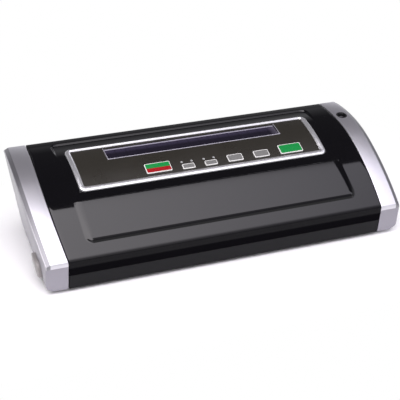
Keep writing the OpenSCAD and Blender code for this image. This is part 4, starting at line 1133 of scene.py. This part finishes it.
def finish_lamp(name):
    """Clear lamp plastic, a little cloudy toward the middle."""
    f = Finish(name, (0.55, 0.56, 0.55), 0.25, Coat_Weight=0.3)
    f.set("Base Color", f.mix(f.noise(900.0), (0.16, 0.165, 0.165), (0.36, 0.365, 0.36)))
    return f.material


def key_print(f, paint, ink, front, split):
    """Colour of a printed key: a light border line just inside the edge, the ink inside, and the front colour
    before the line y = split. With dx, dy the distances inside the key's sides and r the corner radius, the
    distance from the edge is r - hypot(max(r - dx, 0), max(r - dy, 0)), and the nearest key's counts."""
    x, y, _ = f.xyz()
    r = 0.0016
    edge = None
    for kx, ky, w, h, rise in KEYS.values():
        lean = float(tilt(ky))
        dx = (w / 2) * MM - abs(x - kx * MM)
        dy = (h / 2) * MM - abs((y - (ky - rise * math.sin(lean)) * MM) / math.cos(lean))
        cx, cy = (r - dx).most(0.0), (r - dy).most(0.0)
        d = r - (cx * cx + cy * cy) ** 0.5
        edge = d if edge is None else edge.most(d)
    tone = f.mix(f.noise(220.0, 2.0), *shades(ink, 0.93, 1.07))
    if front is not None:
        tone = f.mix(ramp01(y, split * MM, (split - 0.25) * MM), tone, front)
    return f.mix(ramp01(edge, 0.00085, 0.00070), tone, paint.border)


def finish_key(name, paint, ink, front=None, split=0.0):
    """Membrane key: satin film with a printed light border, in one colour or with another one in front."""
    f = Finish(name, ink, 0.28)
    f.set("Base Color", key_print(f, paint, ink, front, split))
    f.set("Roughness", 0.24 + 0.06 * f.noise(90.0))
    f.bump(f.noise(2600.0, 2.0), 0.000006, 0.5)
    return f.material


# ---------------------------------------------------------------- operators


def put_on(node, material):
    """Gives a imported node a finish."""
    mesh = frame["nodes"][node].data
    mesh.materials.clear()
    mesh.materials.append(material)


class SEALER_OT_finishes(bpy.types.Operator):
    """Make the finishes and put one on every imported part"""

    bl_idname = "sealer.finishes"
    bl_label = "Finishes"

    def execute(self, context):
        make_finishes(context.scene.sealer_paint)
        slots = {row["node"]: row["material_slot"] for row in frame["record"]["subparts"]}
        for node in frame["nodes"]:
            put_on(node, FINISHES[slots[node]])
        put_on("power_key", FINISHES["power"])
        put_on("panel_frame", FINISHES["rim"])
        return {"FINISHED"}


class SEALER_OT_lid(bpy.types.Operator):
    """Build the polished lid with its raised field, hollow and panel seat"""

    bl_idname = "sealer.lid"
    bl_label = "Lid"

    def execute(self, context):
        skin = lid_shell(context.scene.sealer_shape)
        lid = new_piece("lid_shell", skin, "lid_gloss", "lid", ("lid_cover",))
        carve(lid, lid_cutters())
        new_piece("lid_box", join_parts(lid_inside()), "lid_gloss", "lid", (), 30)
        return {"FINISHED"}


class SEALER_OT_sides(bpy.types.Operator):
    """Build the two side housings and their silver trims"""

    bl_idname = "sealer.sides"
    bl_label = "Side housings and trims"

    def execute(self, context):
        silver, bright = "silver_plastic", "bright_trim"
        for side, name in SIDES:
            solid, skin = name + "_housing", housing_skin(side)
            housing = new_piece(solid + "_skin", skin, silver, "base", (solid,), 35)
            carve(housing, housing_cutters(side))
            solid, skin = name + "_trim", trim_skin(side, context.scene.sealer_shape)
            trim = new_piece(solid + "_skin", skin, bright, "base", (solid,))
            if side > 0:
                carve(trim, [prism_z(circle(*port_centre(), 6.05, 6), *THROUGH)])
        return {"FINISHED"}


class SEALER_OT_buttons(bpy.types.Operator):
    """Build the two release buttons and their springs"""

    bl_idname = "sealer.buttons"
    bl_label = "Release buttons"

    def execute(self, context):
        for side, name in SIDES:
            button, grey, metal = name + "_button", "button_grey", "bar_metal"
            new_piece(button + "_skin", button_skin(side), grey, button, (name + "_release_button",))
            skin = coil_skin(side)
            coil = new_piece(name + "_spring_coil", skin, metal, None, (name + "_release_spring",), 60)
            # the spring is pressed together between the housing and the button
            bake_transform(coil)
        return {"FINISHED"}


class SEALER_OT_panel(bpy.types.Operator):
    """Build the key panel: bright rim, film and display window"""

    bl_idname = "sealer.panel"
    bl_label = "Key panel"

    def execute(self, context):
        skin = rim_skin(context.scene.sealer_shape)
        new_piece("panel_rim", skin, "rim", "lid", ("panel_frame",), 50)
        printed = "overlay_film"
        film = new_piece("panel_film", film_skin(), printed, "lid", ("panel_overlay",), 30)
        carve(film, film_cutters(), 30)
        new_piece("display_film", window_skin(), "lens_film", "lid", ("window_lens",))
        return {"FINISHED"}


class SEALER_OT_keys(bpy.types.Operator):
    """Build the six printed keys"""

    bl_idname = "sealer.keys"
    bl_label = "Keys"

    def execute(self, context):
        for name in KEYS:
            slot = "key_green" if name in ("power_key", "start_key") else "key_grey"
            finish = "power" if name == "power_key" else slot
            new_piece(name + "_cap", key_skin(name, context.scene.sealer_shape), finish, name, (name,))
        return {"FINISHED"}


class SEALER_OT_port(bpy.types.Operator):
    """Build the hose port in the right housing"""

    bl_idname = "sealer.port"
    bl_label = "Hose port"

    def execute(self, context):
        new_piece("port_ring", port_skin(), "port", "base", ("hose_port",))
        return {"FINISHED"}


# ---------------------------------------------------------------- studio


def stage_material(name, base, rough):
    """Plain, even floor that keeps the shadow. Away from the object it shows as plain white."""
    f = Finish(name, base, rough, Specular_IOR_Level=0.1)
    f.set("Base Color", f.mix(f.noise(2.0), *shades(base, 0.995, 1.0)))
    x, y, _ = f.xyz()
    far = ramp01(abs(x) - 0.17, 0.02, 0.16).most(ramp01(abs(y) - 0.05, 0.03, 0.15))
    path = f.node("ShaderNodeLightPath")
    seen = path[0].most(path[3]).most(path[6])  # camera, glossy and transmission rays
    white = f.node("ShaderNodeEmission", None, {"Color": (1, 1, 1, 1), "Strength": 1.0})[0]
    both = f.node("ShaderNodeMixShader", None, {0: far * seen, 1: f.shader.outputs[0], 2: white})[0]
    fill_socket(f.tree, f.tree.nodes["Material Output"].inputs[0], both)
    return f.material


def panel_light(name, strength):
    """Even light panel, a little weaker toward its right end and warmer on the left."""
    f = Finish(name, (0, 0, 0), 1.0, Specular_IOR_Level=0.0, Emission_Strength=strength)
    across = ramp01(f.xyz()[0], -0.35, 1.0)
    f.set("Emission Color", f.mix(across, (1.0, 0.96, 1.0), (0.36, 0.35, 0.39)))
    return f.material


SKY = ((0.0, 1.0), (0.34, 0.85), (0.46, 0.26), (0.62, 0.06), (1.0, 0.04))  # sine of the height, brightness
FLOOR_REACH = 8.0
CAMERA_PLACE = (-0.40932, -1.012975, 0.553823)
CAMERA_ANGLES = (21.752, 25.2515, 0.229)  # turned to the right, tipped down and rolled, in degrees


def scene_world(scene):
    """Surroundings: a white backdrop near the horizon, under a dim room that is darker to both sides."""
    world = bpy.data.worlds.new("surroundings")
    world.use_nodes = True
    tree = world.node_tree
    tree.nodes.clear()

    def first(kind, settings=None, sockets=None):
        """Adds a node and gives its first output."""
        return add_node(tree, kind, settings, sockets).outputs[0]

    way = add_node(tree, "ShaderNodeTexCoord").outputs["Generated"]
    x, _, z = add_node(tree, "ShaderNodeSeparateXYZ", None, {0: way}).outputs
    stops = [(at, (shade, shade, shade * 1.04, 1)) for at, shade in SKY]
    sky = first("ShaderNodeValToRGB", {"stops": stops}, {0: z})
    aside = first("ShaderNodeMath", {"operation": "ABSOLUTE"}, {0: x})
    side = first("ShaderNodeMapRange", None, {0: aside, 1: 0.5, 2: 0.9, 3: 1.0, 4: 0.40})
    room = first("ShaderNodeBackground", None, {0: sky, 1: side})
    add_node(tree, "ShaderNodeOutputWorld", None, {0: room})
    scene.world = world


def stage_sheet(name, corners, material):
    """Flat four-sided sheet that belongs to the studio."""
    mesh = bpy.data.meshes.new(name)
    mesh.from_pydata(corners, [], [(0, 1, 2, 3)])
    mesh.materials.append(material)
    sheet = bpy.data.objects.new(name, mesh)
    bpy.context.scene.collection.objects.link(sheet)


def camera_matrix():
    """Place and turn of the camera: it looks along d, and its frame is rolled about that."""
    az, el, roll = (math.radians(a) for a in CAMERA_ANGLES)
    d = Vector((math.sin(az) * math.cos(el), math.cos(az) * math.cos(el), -math.sin(el)))
    level = Vector((math.cos(az), -math.sin(az), 0))
    above = level.cross(d)
    right = level * math.cos(roll) + above * math.sin(roll)
    up = above * math.cos(roll) - level * math.sin(roll)
    turn = Matrix((right, up, -d)).transposed()
    return Matrix.Translation(CAMERA_PLACE) @ turn.to_4x4()


class SEALER_OT_stage(bpy.types.Operator):
    """Set up the floor, the lamps, the surroundings and the camera"""

    bl_idname = "sealer.stage"
    bl_label = "Studio"

    def execute(self, context):
        scene = context.scene
        reach = FLOOR_REACH
        floor = [(-reach, -reach, 0), (reach, -reach, 0), (reach, reach, 0), (-reach, reach, 0)]
        stage_sheet("floor", floor, stage_material("studio floor", (0.93, 0.93, 0.93), 0.9))
        # ceiling panel: its far edge stands where the front half of the lid starts to mirror it
        x0, x1, y0, z = -1.7, 3.0, -2.6, 1.5
        ceiling = [(x0, y0, z), (x0, 0.155, z), (x1, 0.105, z), (x1, y0, z)]
        stage_sheet("ceiling panel", ceiling, panel_light("ceiling light", 4.3))
        scene_world(scene)
        data = bpy.data.cameras.new("view")
        data.sensor_width, data.lens = 36.0, 103.638
        data.clip_start, data.clip_end = 0.05, 50.0
        camera = bpy.data.objects.new("view", data)
        scene.collection.objects.link(camera)
        camera.matrix_world = camera_matrix()
        scene.camera = camera
        scene.view_settings.view_transform = "Standard"
        return {"FINISHED"}


OPERATORS = (
    SEALER_OT_finishes,
    SEALER_OT_lid,
    SEALER_OT_sides,
    SEALER_OT_panel,
    SEALER_OT_keys,
    SEALER_OT_buttons,
    SEALER_OT_port,
    SEALER_OT_stage,
)


class SEALER_PT_panel(bpy.types.Panel):
    """Lists the steps that build the sealer"""

    bl_idname = "SEALER_PT_panel"
    bl_label = "Vacuum sealer"
    bl_space_type = "VIEW_3D"
    bl_region_type = "UI"
    bl_category = "Sealer"

    def draw(self, context):
        layout = self.layout
        for group in (context.scene.sealer_shape, context.scene.sealer_paint):
            box = layout.box()
            for name in group.__annotations__:
                box.prop(group, name)
        for operator in OPERATORS:
            layout.operator(operator.bl_idname)


CLASSES = (SealerShape, SealerPaint, *OPERATORS, SEALER_PT_panel)


def register():
    for c in CLASSES:
        bpy.utils.register_class(c)
    bpy.types.Scene.sealer_shape = bpy.props.PointerProperty(type=SealerShape)
    bpy.types.Scene.sealer_paint = bpy.props.PointerProperty(type=SealerPaint)


def unregister():
    del bpy.types.Scene.sealer_paint
    del bpy.types.Scene.sealer_shape
    for c in reversed(CLASSES):
        bpy.utils.unregister_class(c)


def main():
    register()
    for operator in OPERATORS:
        group, name = operator.bl_idname.split(".")
        getattr(getattr(bpy.ops, group), name)()
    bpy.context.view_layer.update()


if __name__ == "__main__":
    main()
